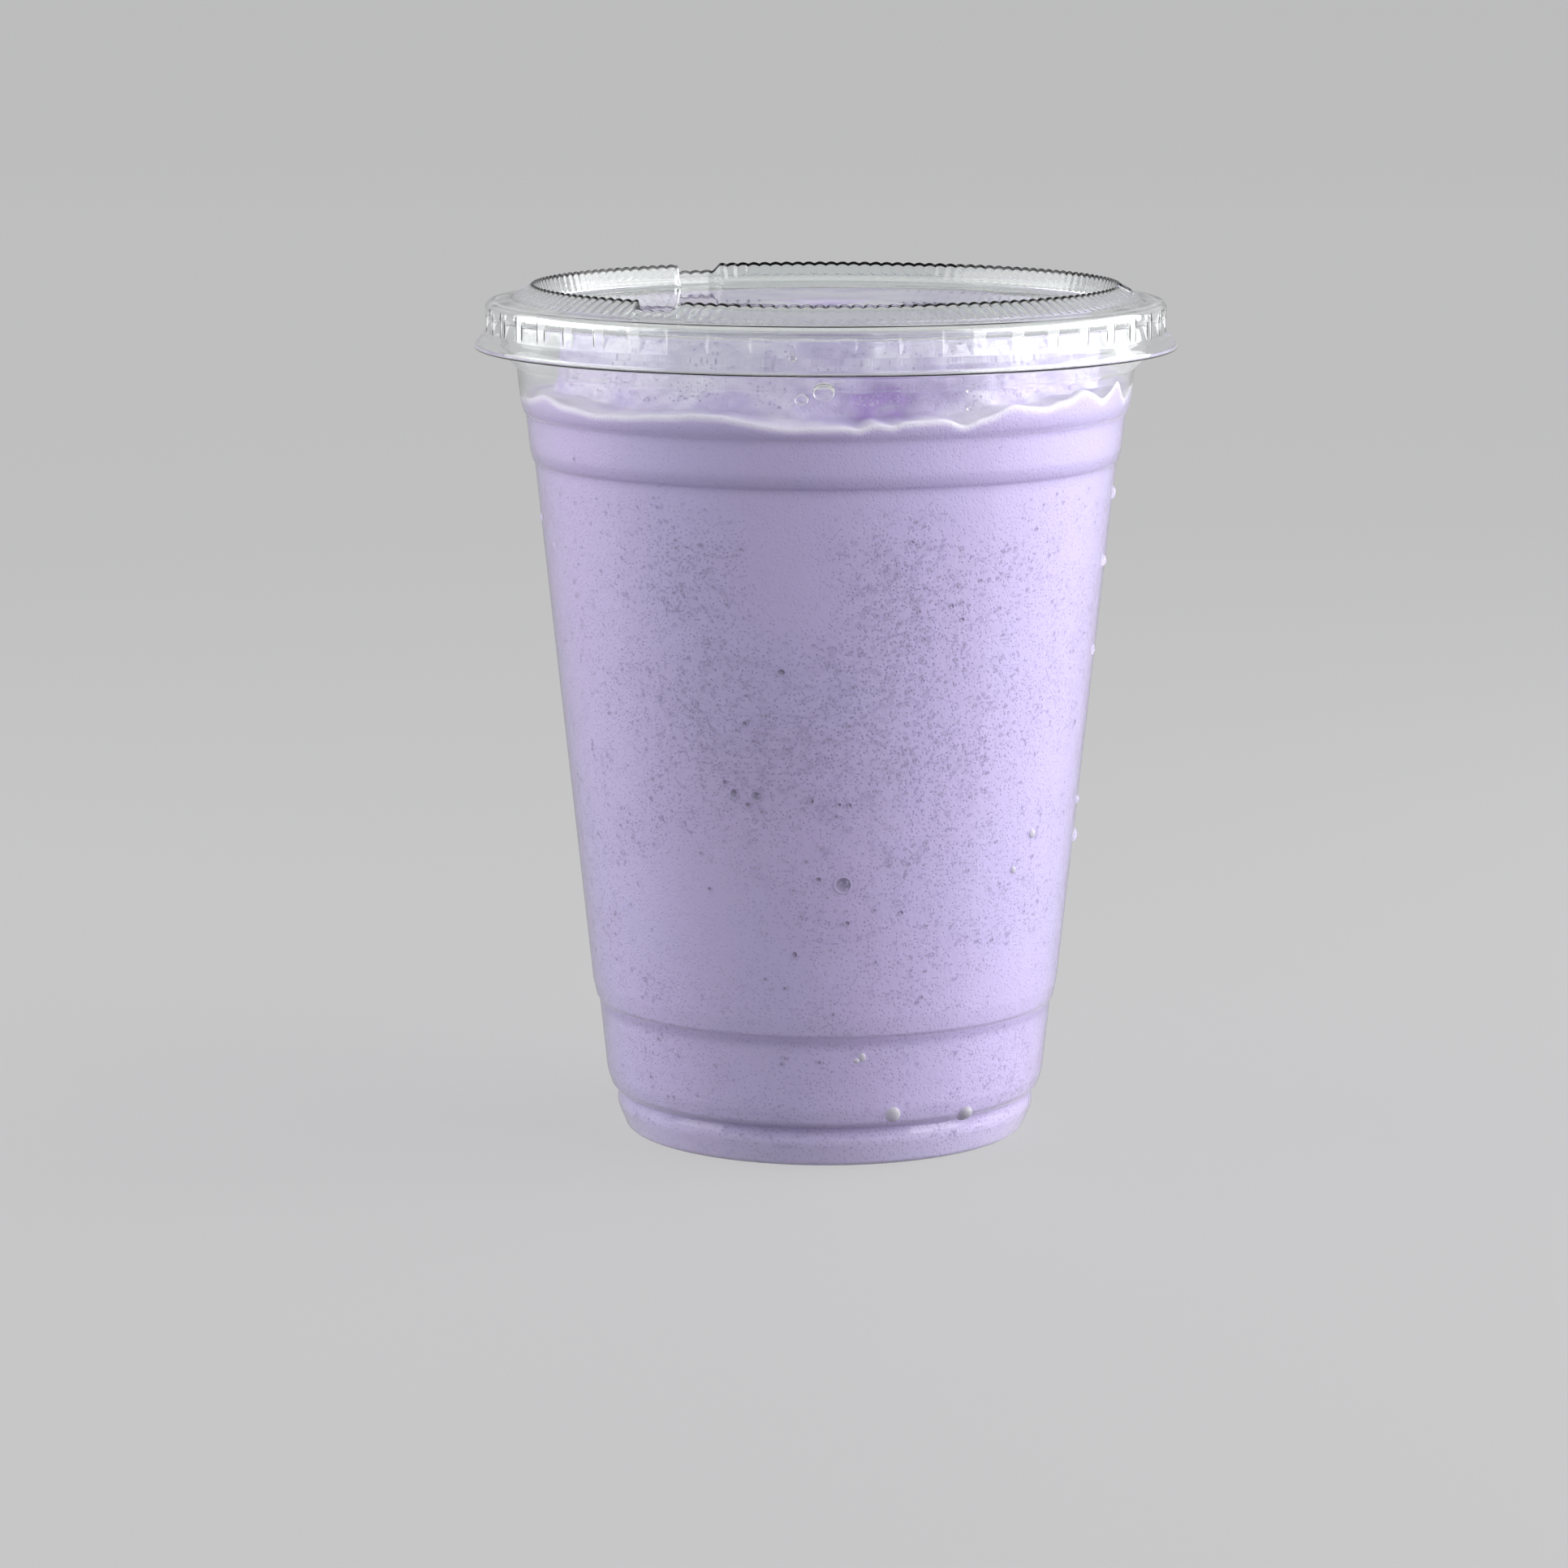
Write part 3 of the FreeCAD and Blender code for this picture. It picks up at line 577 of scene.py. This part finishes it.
def smoothie_fill():
    """The smoothie: turned from the cup's inner line up to the join, then up the wall to its wavy
    edge, over a soft lip, across the gutter and up the heap to the lid."""
    rings = turned(INSIDE_LINE[INSIDE_LINE[:, 1] < JOIN_Z - 0.3], FILL_COLUMNS // 3)
    angles = full_turn(FILL_COLUMNS)
    edge = level(angles)
    for share in np.linspace(0, 1, 11):
        height = JOIN_Z + share * (edge - JOIN_Z)
        rings.append(round_ring(inside_radius(height), height, angles))
    wall = inside_radius(edge)
    width = LIP_WIDTH * (1 + edge_waves(angles, 9.0, 6, 0.25))
    for share in np.linspace(0, 1, 8)[1:]:
        turn = math.pi * share
        height = edge + LIP_BULGE * math.sin(turn) - GUTTER_DROP * smooth_step(share * 1.2 - 0.2)
        rings.append(round_ring(wall - width * (1 - math.cos(turn)) / 2, height, angles))
    foot_radius, foot_height = heap_ring(angles, 0.0)
    for share in np.linspace(0, 1, 10)[1:-1]:
        radius = wall - width + share * (foot_radius + 0.5 - wall + width)
        height = (edge - GUTTER_DROP) * (1 - share) + foot_height * share
        spot = round_ring(radius, height, angles)
        height = height + waves(spot, 5.0, 8, 0.10) * math.sin(math.pi * share)
        rings.append(round_ring(radius, height, angles))
    for share in [*HEAP_SHARES[:-1], *HEAP_TOP_SHARES]:
        rings.append(round_ring(*heap_ring(angles, share), angles))
    rings.append(np.array([[0, 0, PANEL_UNDER_Z + HEAP_TOUCH]]))
    points = np.concatenate(rings)
    smooth_top = 1 - 0.75 * smooth_step((points[:, 2] - PORES_THIN_Z) / 4)
    pitted = np.clip((0.35 + 0.75 * crowding(points)) * smooth_top, 0, 1)
    return skin("smoothie_fill", rings, shade=smoothie_shade(points), pitted=pitted)


# ---- bubbles, pits and drops --------------------------------------------------------------
def set_in(name, centres, normals, across, shape, columns, painted_shade_slant=0.0, depths=None, smooth=True):
    """Many small closed bodies on a surface, joined in one mesh. Each is turned from shape, a
    list of (radius, lift, grows, shade) rings from its middle outwards that ends under its middle;
    radius is a share of its own size, lift is along the normal, in millimetres or, where it grows,
    as a share of the size. slant paints shade towards the upper right, where a bowl's upper side
    faces down, and depths say for each body how much of its painted darkness it gets."""
    shaded_side, out_of_round = math.radians(50), 0.12
    count = len(centres)
    upward = np.array([0, 0, 1.0]) - normals * normals[:, 2:]
    upward /= np.linalg.norm(upward, axis=1)[:, None]
    sideways = np.cross(upward, normals)
    turns = full_turn(columns)
    local, lifts, growing, shades = [], [], [], []
    for radius, lift, grows, shade in shape:
        some = turns if radius else turns[:1]
        local.append(np.stack([radius * np.cos(some), radius * np.sin(some)], 1))
        lifts.append(np.full(len(some), lift))
        growing.append(np.full(len(some), grows))
        shades.append(shade - painted_shade_slant * radius * np.cos(some - shaded_side))
    flat = np.concatenate(local)
    half = across[:, None] / 2
    rise = np.concatenate(lifts)[None, :] * np.where(np.concatenate(growing), half, 1.0)
    stretch = 1 + out_of_round * np.sin(np.arange(count) * 2.4)[:, None]
    x, y = flat[:, 0] * half * stretch, flat[:, 1] * half / stretch
    points = (centres[:, None] + sideways[:, None] * x[..., None] + upward[:, None] * y[..., None]
              + normals[:, None] * rise[..., None])
    squares, triangles = between_all([len(ring) for ring in local], range(len(shape)))
    moved = np.arange(count) * len(flat)
    squares = (squares[None] + moved[:, None, None]).reshape(-1, 4)
    triangles = (triangles[None] + moved[:, None, None]).reshape(-1, 3)
    depths = np.ones(count) if depths is None else depths
    shade = (1 - (1 - np.concatenate(shades))[None] * depths[:, None]).ravel()
    return build(name, points.reshape(-1, 3), squares, triangles, smooth, shade=shade)


def on_wall(degrees, height, outside):
    """Points on the cup's wall and their outward normals; outside picks the wall's outer face."""
    angles = np.radians(np.asarray(degrees, float))
    height = np.asarray(height, float)
    radius = inside_radius(height) - FILL_INTO_WALL + (CUP_WALL if outside else 0)
    nearby = 0.2
    lean = (inside_radius(height + nearby) - inside_radius(height - nearby)) / (2 * nearby)
    normals = np.stack([np.sin(angles), -np.cos(angles), -lean], 1)
    return round_ring(radius, height, angles), normals / np.linalg.norm(normals, axis=1)[:, None]


# Bubbles against the wall that stand out by their size: angle in degrees, height, diameter.
BIG_BUBBLES = [
    (4, 42.3, 2.3), (-15, 55, 1.5), (-20, 55.2, 1.3), (-17, 53.7, 0.8), (-22, 56.8, 0.7),
    (-3, 54.5, 0.85), (-1.5, 43.1, 0.8), (-7, 32, 0.9), (5, 36.7, 0.75), (3, 54, 0.6),
    (5.3, 53.9, 0.6), (-9, 73, 1.1), (-17, 65.4, 0.8), (17.5, 38, 0.6), (28.5, 80, 0.6),
    (26, 82, 0.6), (17, 91.4, 0.6), (-27, 41, 0.6), (70, 62, 0.8), (112, 35, 1.4),
    (118, 48, 0.9), (165, 71, 1.6), (172, 70, 0.9), (-150, 28, 1.2), (-120, 84, 1.0),
    (-95, 52, 1.3),
]


def big_bubbles():
    """Air bubbles against the wall: shallow bowls painted dark as the shade in them, darker above
    and paler in their lower part, each in a pale rim."""
    degrees, heights, across = np.array(BIG_BUBBLES).T
    bowl, rim = 0.16, 0.27
    shape = [(0, bowl, 0, 0.42), (0.35, bowl + 0.01, 0, 0.40), (0.65, bowl + 0.03, 0, 0.42),
             (0.88, bowl + 0.08, 0, 0.50), (1, rim, 0, 0.95), (1.1, rim, 0, 1.15),
             (1.2, 0.10, 0, 1.0), (0, 0, 0, 1)]
    centres, normals = on_wall(degrees, heights, False)
    return set_in("wall_bubbles", centres, normals, across, shape, 20, painted_shade_slant=0.30)


# Where the small bubbles crowd: angle in degrees, height, half width in degrees, half height, how
# many; a negative number keeps a place smooth.
PIT_FIELDS = [
    (-24, 86, 11, 11, 0.55), (15, 84, 11, 8, 0.85), (2, 64, 26, 13, 0.80), (-26, 62, 12, 16, 0.25),
    (30, 60, 14, 18, 0.25), (-8, 88, 7, 11, -0.9), (-30, 36, 14, 9, -0.3), (12, 33, 16, 8, 0.30),
    (110, 70, 30, 22, 0.55), (170, 55, 35, 25, 0.45), (-120, 80, 30, 18, 0.5),
    (-80, 40, 20, 18, 0.3),
]


def crowding(points):
    """How close the small bubbles stand: uneven, closest in the fields, few near the edge."""
    degrees, heights = np.degrees(np.arctan2(points[:, 0], -points[:, 1])), points[:, 2]
    crowd = 0.16 + waves(points, 14.0, 33, 0.07) + waves(points, 5.0, 34, 0.05)
    for angle, height, half_width, half_height, many in PIT_FIELDS:
        across = short_way(degrees - angle) / half_width
        crowd += many * np.exp(-across ** 2 - ((heights - height) / half_height) ** 2)
    return crowd * (1 - 0.9 * smooth_step((heights - PITS_END_Z) / 3))


def fine_pits():
    """Thousands of tiny bubbles against the wall, in fields with smooth places between them, each
    painted dark in its middle as the shade in it.
    """
    rng = np.random.default_rng(31)
    tries = 60000
    least, spread, most = 0.20, 0.11, 0.80
    degrees = rng.uniform(-180, 180, tries)
    heights = rng.uniform(3, LEVEL_Z - 3, tries)
    centres, normals = on_wall(degrees, heights, False)
    kept = rng.uniform(0, 1.1, tries) < crowding(centres)
    kept &= heights < level(np.radians(degrees)) - 1.5
    from_shoulder = [np.abs(heights - z - tall / 2) for z, tall, _ in WALL_STEPS]
    kept &= (np.minimum.reduce(from_shoulder) >= 2) | (rng.uniform(size=tries) < 0.3)
    kept = np.flatnonzero(kept)[:PIT_COUNT]
    across = np.minimum(least + spread * rng.gamma(1.2, 1.0, tries), most)
    depths = np.clip(0.40 + 1.1 * (across - least), 0, 1) * rng.uniform(0.7, 1.1, tries)
    # painted shade: dark in the middle, fading to the drink's lilac at the rim
    shape = [(0, 0.215, 0, 0.15), (1, 0.235, 0, 0.98), (0, 0.02, 0, 1)]
    return set_in("fine_pits", centres[kept], normals[kept], across[kept], shape, 6,
                  depths=depths[kept], smooth=False)


def heap_pits():
    """Small open bubbles on the steep side of the heap, crowded in its dent, painted darker in
    their middles as their shade.
    """
    rng = np.random.default_rng(41)
    angles = full_turn(FILL_COLUMNS)
    grid = np.stack([round_ring(*heap_ring(angles, share), angles) for share in HEAP_SHARES[3:36]])
    along = np.roll(grid, -1, 1) - np.roll(grid, 1, 1)
    up = np.gradient(grid, axis=0)
    normals = np.cross(along, up)
    normals /= np.linalg.norm(normals, axis=2)[..., None]
    tries = 6500
    least, spread, most = 0.18, 0.09, 0.7
    rows, columns = rng.integers(1, len(grid) - 1, tries), rng.integers(0, FILL_COLUMNS, tries)
    centres, facing = grid[rows, columns], normals[rows, columns]
    crowd = waves(centres, 9.0, 42) + 1.6 * hollow(angles[columns], centres[:, 2])
    kept = rng.uniform(-1.5, 2.5, tries) < crowd
    across = np.minimum(least + spread * rng.gamma(1.3, 1.0, tries), most)
    # painted shade: darker in the middle of each open bubble
    shape = [(0, 0.03, 0, 0.45), (1, 0.05, 0, 1.1), (0, -0.1, 0, 1)]
    return set_in("heap_pits", centres[kept], facing[kept], across[kept], shape, 6, smooth=False)


DROP_TALL = 0.62             # of half a drop's width
DROP_SUNK = 0.42             # how deep a drop's flat back lies in the cup's wall

# Drops outside, clear water and water made partly white as a painted highlight: angle in degrees,
# height, width.
CLEAR_DROPS = [
    (-0.3, 112.8, 3.1), (-4.2, 111.7, 1.8), (-5.4, 117.5, 1.1), (26.2, 112.5, 0.8),
    (26.4, 110, 0.7), (81.5, 94.6, 1.8), (78, 85, 2.0), (77.7, 72, 1.5), (81, 49.5, 1.4),
    (83, 44, 2.1), (-70, 88, 1.0), (-81, 91, 1.3), (120, 66, 1.9), (128, 90, 1.2),
    (-160, 103, 1.4),
]
WHITE_HIGHLIGHT_DROPS = [
    (47.5, 42.4, 1.1), (53.3, 47.2, 1.4), (9.2, 16.7, 1.2), (7.8, 16.2, 0.8), (17.7, 7.9, 2.3),
    (39.7, 6.6, 2.6), (150, 40, 2.2), (-125, 74, 1.6), (-140, 22, 1.8),
]


def drops(name, places):
    """Domes of water on the outside of the cup, a little flatter than half balls: radius by the
    cosine and height by the sine of a turn from the top down to the wall."""
    degrees, heights, across = np.array(places).T
    turns = np.radians([90, 80, 70, 60, 50, 40, 30, 20, 12, 5])
    shape = [(0, DROP_TALL, 1, 1)]
    shape += [(float(np.cos(turn)), DROP_TALL * float(np.sin(turn)), 1, 1) for turn in turns[1:]]
    shape += [(1.0, 0, 1, 1), (0.98, -DROP_SUNK, 0, 1), (0, -DROP_SUNK, 0, 1)]
    centres, normals = on_wall(degrees, heights, True)
    return set_in(name, centres, normals, across, shape, 36)


# ---- material tools -----------------------------------------------------------------------
def filled_in(node, values):
    """The node, with values in its inputs by their names."""
    for title, value in values.items():
        node.inputs[title].default_value = value
    return node


def added(nodes, kind, values=None, **settings):
    """A new node with its settings and the values of its inputs."""
    node = nodes.new("ShaderNode" + kind)
    for title, setting in settings.items():
        setattr(node, title, setting)
    return filled_in(node, values or {})


def plug(links, source, socket):
    """Gives an input the output of another node, or a plain number."""
    if isinstance(source, float):
        socket.default_value = source
    else:
        links.new(source, socket)


def material(name, values):
    """A material whose main shader has these values in its inputs."""
    made = bpy.data.materials.new(name)
    made.use_nodes = True
    shader = filled_in(made.node_tree.nodes["Principled BSDF"], values)
    return made, made.node_tree.nodes, made.node_tree.links, shader


def worked_out(nodes, links, operation, *terms):
    """The result of arithmetic on outputs and plain numbers."""
    node = added(nodes, "Math", operation=operation)
    for term, socket in zip(terms, node.inputs):
        plug(links, term, socket)
    return node.outputs[0]


def mixed(nodes, links, share, first, second):
    """Two shaders mixed: the first alone where share is 0 and the second alone where it is 1."""
    node = added(nodes, "MixShader")
    for source, socket in zip((share, first, second), node.inputs):
        plug(links, source, socket)
    return node.outputs["Shader"]


def multiplied(nodes, links, share, first, second):
    """The first colour, multiplied by the second as far as share says."""
    node = added(nodes, "Mix", data_type="RGBA", blend_type="MULTIPLY")
    plug(links, share, node.inputs["Factor"])
    links.new(first, node.inputs["A"])
    links.new(second, node.inputs["B"])
    return node.outputs["Result"]


def ramp(nodes, links, number, *stops):
    """A colour for a number, from stops of place and colour."""
    node = added(nodes, "ValToRGB")
    elements = node.color_ramp.elements
    for element, (place, colour) in zip(elements, (stops[0], stops[-1])):
        element.position = place
        element.color = (*colour, 1)
    for place, colour in stops[1:-1]:
        elements.new(place).color = (*colour, 1)
    links.new(number, node.inputs["Fac"])
    return node.outputs["Color"]


def held_number(nodes, title):
    """The number that a piece holds for each of its points."""
    return added(nodes, "Attribute", attribute_name=title).outputs["Fac"]


def pattern(nodes, links, kind, values):
    """A texture in the piece's own space."""
    node = added(nodes, kind, values)
    links.new(added(nodes, "TexCoord").outputs["Object"], node.inputs["Vector"])
    return node.outputs


def uneven(nodes, links, height, strength, distance, under=None):
    """A surface made uneven by a height, on top of another unevenness if one is given."""
    node = added(nodes, "Bump", {"Strength": strength, "Distance": distance})
    links.new(height, node.inputs["Height"])
    if under is not None:
        links.new(under, node.inputs["Normal"])
    return node.outputs["Normal"]


# ---- materials ----------------------------------------------------------------------------
WET_DRINK = {"Roughness": 0.45, "Specular IOR Level": 0.7}


def let_light_through(made, nodes, links, shader, share, bounces, pale_below=0.0):
    """Rays towards the lamps pass straight through the material, so that what it holds is lit, and
    so do rays that have already bounced many times between its faces. Below a height in millimetres
    two bounces fewer are enough, which keeps the edge there pale."""
    place = added(nodes, "TexCoord")
    split = added(nodes, "SeparateXYZ")
    links.new(place.outputs["Object"], split.inputs["Vector"])
    ray = added(nodes, "LightPath").outputs
    low = worked_out(nodes, links, "LESS_THAN", split.outputs["Z"], pale_below * MM)
    count = worked_out(nodes, links, "MULTIPLY_ADD", low, 2.0, ray["Ray Depth"])
    deep = worked_out(nodes, links, "GREATER_THAN", count, bounces + 0.5)
    free = worked_out(nodes, links, "MAXIMUM", deep, ray["Is Shadow Ray"])
    through = added(nodes, "BsdfTransparent", {"Color": (share, share, share, 1)})
    surface = mixed(nodes, links, free, shader.outputs["BSDF"], through.outputs["BSDF"])
    links.new(surface, nodes["Material Output"].inputs["Surface"])
    return made


def clear_sheet(name, tint, roughness, wobble, haze, bounces, pale_below):
    """Clear formed plastic: smooth, with the faint waves of a stretched sheet and a thin haze that
    shows where it is seen edge on."""
    made, nodes, links, shader = material(name, {
        "Base Color": (*tint, 1), "Roughness": roughness, "IOR": 1.5,
        "Transmission Weight": 1.0, "Sheen Weight": haze, "Sheen Roughness": 0.4,
    })
    waviness = pattern(nodes, links, "TexNoise", {"Scale": 70.0, "Detail": 1.5})["Fac"]
    links.new(uneven(nodes, links, waviness, wobble, 0.0004), shader.inputs["Normal"])
    return let_light_through(made, nodes, links, shader, 0.96, bounces, pale_below)


def blended_taro():
    """Thick lilac drink: from pale froth and a painted highlight through plain lilac to the dim
    lilac and deep purple of painted shade, by its shade, with faint cooler and pinker clouds, a
    fine uneven grain, and pores painted dark as their shade where it is pitted."""
    made, nodes, links, shader = material("blended_taro", WET_DRINK)
    # shade 0: pale froth and the painted highlight of the edge; 0.8 and 1: painted shade
    depth = ramp(nodes, links, held_number(nodes, "shade"), (0, (0.84, 0.81, 0.90)),
                 (0.5, LILAC), (0.8, (0.385, 0.322, 0.55)), (1, (0.37, 0.25, 0.58)))
    clouds = pattern(nodes, links, "TexNoise", {"Scale": 38.0, "Detail": 3.0})["Fac"]
    tone = ramp(nodes, links, clouds, (0.35, (0.98, 0.995, 1.0)), (0.65, (1.0, 0.98, 0.99)))
    # pores painted dark as the shade in tiny pits, crowded where the piece is pitted; they also
    # dent it
    pores = pattern(nodes, links, "TexVoronoi", {"Scale": 1900.0})["Distance"]
    dots = ramp(nodes, links, pores, (0.14, (0.62, 0.60, 0.69)), (0.40, (1.0, 1.0, 1.0)))
    clouded = multiplied(nodes, links, 1.0, depth, tone)
    pore_shaded = multiplied(nodes, links, held_number(nodes, "pitted"), clouded, dots)
    links.new(pore_shaded, shader.inputs["Base Color"])
    grain = pattern(nodes, links, "TexNoise", {"Scale": 1300.0, "Detail": 2.0})["Fac"]
    grained = uneven(nodes, links, grain, 0.25, 0.00026)
    links.new(uneven(nodes, links, dots, 0.6, 0.00018, grained), shader.inputs["Normal"])
    return made


def painted_bubble_shade():
    """The inside of a bubble: dim grey violet as painted shade, and the drink's own lilac where
    its shade is 1.
    """
    made, nodes, links, shader = material("painted_bubble_shade", WET_DRINK)
    shade = held_number(nodes, "shade")
    tone = ramp(nodes, links, shade, (0, (0.07, 0.055, 0.12)), (1, LILAC))
    links.new(tone, shader.inputs["Base Color"])
    return made


def water(name, tint, clearness):
    """Water, from white and diffuse at 0, a painted highlight, to quite clear at 1."""
    made, nodes, links, shader = material(name, {
        "Base Color": (*tint, 1), "Roughness": 0.0, "IOR": 1.33, "Transmission Weight": clearness,
    })
    return let_light_through(made, nodes, links, shader, 1.0, 40)


# ---- stage, lamps and camera --------------------------------------------------------------
def pale_paper():
    """Paper that looks pale, half by its own glow, but is dim to rays that left a rough surface, so
    that it throws little light back up at the cup and overhanging slopes stay dark."""
    made, nodes, links, shader = material("pale_paper", {
        "Base Color": (0.24, 0.24, 0.243, 1), "Roughness": 0.7,
    })
    glow = added(nodes, "Emission", {"Color": (0.96, 0.96, 0.97, 1)}).outputs["Emission"]
    dim = added(nodes, "BsdfDiffuse", {"Color": (0.07, 0.07, 0.07, 1)}).outputs["BSDF"]
    pale = mixed(nodes, links, 0.5, shader.outputs["BSDF"], glow)
    diffuse_ray = added(nodes, "LightPath").outputs["Is Diffuse Ray"]
    surface = mixed(nodes, links, diffuse_ray, pale, dim)
    links.new(surface, nodes["Material Output"].inputs["Surface"])
    return made


def studio_floor():
    """A pale sweep in metres: flat under the cup, then a quarter turn up into a backdrop far
    behind it."""
    start_y, curve, back_z, half_width = 2.2, 1.2, 4.0, 4.0
    depth = np.array([-3.0, -1.0, 0.0, 1.0, start_y])
    turns = np.radians(np.linspace(-90, 0, 13))
    line = np.concatenate([
        np.stack([depth, np.zeros(5)], 1),
        np.stack([start_y + curve * np.cos(turns), curve + curve * np.sin(turns)], 1)[1:],
        [[start_y + curve, back_z]],
    ])
    points = np.array([[x, y, z] for y, z in line for x in (-half_width, half_width)]) / MM
    i = np.arange(len(line) - 1) * 2
    squares = np.stack([i, i + 1, i + 3, i + 2], 1)
    floor = build("studio_floor", points, squares, np.zeros((0, 3), int))
    floor.data.materials.append(pale_paper())


def soft_box(name, degrees, away, height, wide, tall, power):
    """A rectangular lamp at an angle from the front, facing the axis; one up high faces the cup.
    Sizes are in metres."""
    angle = math.radians(degrees)
    place = Vector((away * math.sin(angle), -away * math.cos(angle), height))
    lamp = bpy.data.lights.new(name, "AREA")
    lamp.shape = "RECTANGLE"
    lamp.size, lamp.size_y = wide, tall
    lamp.energy = power
    holder = bpy.data.objects.new(name, lamp)
    holder.location = place
    holder.rotation_mode = "QUATERNION"
    target = Vector((0, 0, min(height, CUP_HEIGHT * MM)))
    holder.rotation_quaternion = (target - place).to_track_quat("-Z", "Y")
    bpy.context.scene.collection.objects.link(holder)


def studio_air():
    """Dim white light from all round, which rays to the eye or through clear pieces see as grey."""
    world = bpy.data.worlds.new("studio_air")
    world.use_nodes = True
    nodes, links = world.node_tree.nodes, world.node_tree.links
    air = filled_in(nodes["Background"], {"Color": (1.0, 1.0, 1.0, 1), "Strength": 0.14})
    grey = added(nodes, "Background", {"Color": (0.5, 0.5, 0.5, 1)}).outputs["Background"]
    ray = added(nodes, "LightPath").outputs
    seen = worked_out(nodes, links, "MAXIMUM", ray["Is Camera Ray"], ray["Is Transmission Ray"])
    surface = mixed(nodes, links, seen, air.outputs["Background"], grey)
    links.new(surface, nodes["World Output"].inputs["Surface"])
    bpy.context.scene.world = world


def studio():
    """Floor, a stronger soft lamp to the right, a weaker one to the left and a large one above."""
    studio_floor()
    soft_box("soft_box_right", 87, away=0.46, height=0.230, wide=0.85, tall=0.42, power=3.65)
    soft_box("soft_box_left", -90, away=0.46, height=0.205, wide=0.65, tall=0.38, power=1.5)
    soft_box("soft_box_top", 180, away=0.9, height=2.4, wide=3.0, tall=3.0, power=4.0)
    studio_air()
    bpy.context.scene.view_settings.view_transform = "Standard"


def camera():
    """Eye a little above the lid, 78 cm in front of the axis, looking slightly down."""
    looking_down, looking_left = 9.54, 0.444
    eye = bpy.data.cameras.new("camera")
    eye.sensor_width = 36.0
    eye.lens = 123.5
    holder = bpy.data.objects.new("camera", eye)
    holder.location = (0.0, -0.7814, 0.1820)
    holder.rotation_euler = (math.radians(90 - looking_down), 0, math.radians(looking_left))
    bpy.context.scene.collection.objects.link(holder)
    bpy.context.scene.camera = holder


# ---- all together -------------------------------------------------------------------------
def dress(piece, finish, node=None):
    """Puts a finish on a piece, which may stand for a CAD node."""
    piece.data.materials.append(finish)
    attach(piece, "root")
    if node:
        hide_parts(node)


cup_finish = clear_sheet(
    "clear_cup_sheet", tint=(0.97, 0.985, 0.98), roughness=0.05, wobble=0.06, haze=0.7,
    bounces=9, pale_below=0.0,
)
lid_finish = clear_sheet(
    "clear_lid_sheet", tint=(0.96, 0.98, 0.975), roughness=0.03, wobble=0.2, haze=0.0,
    bounces=6, pale_below=FLARE_Z,
)
dress(cup_shell(), cup_finish, "cup")
dress(lid_sheet(), lid_finish, "lid")
dress(smoothie_fill(), blended_taro(), "smoothie")
# one finish of painted shade for all bubbles and pits
bubble_shade_finish = painted_bubble_shade()
for scattered in (big_bubbles(), fine_pits(), heap_pits()):
    dress(scattered, bubble_shade_finish)
dress(drops("clear_drops", CLEAR_DROPS), water("clear_water", (1, 1, 1), 1.0))
# drops made partly white: a painted highlight for drops that look bright
white_highlight_finish = water("white_highlight_water", (0.96, 0.95, 0.99), 0.30)
dress(drops("white_highlight_drops", WHITE_HIGHLIGHT_DROPS), white_highlight_finish)
studio()
camera()
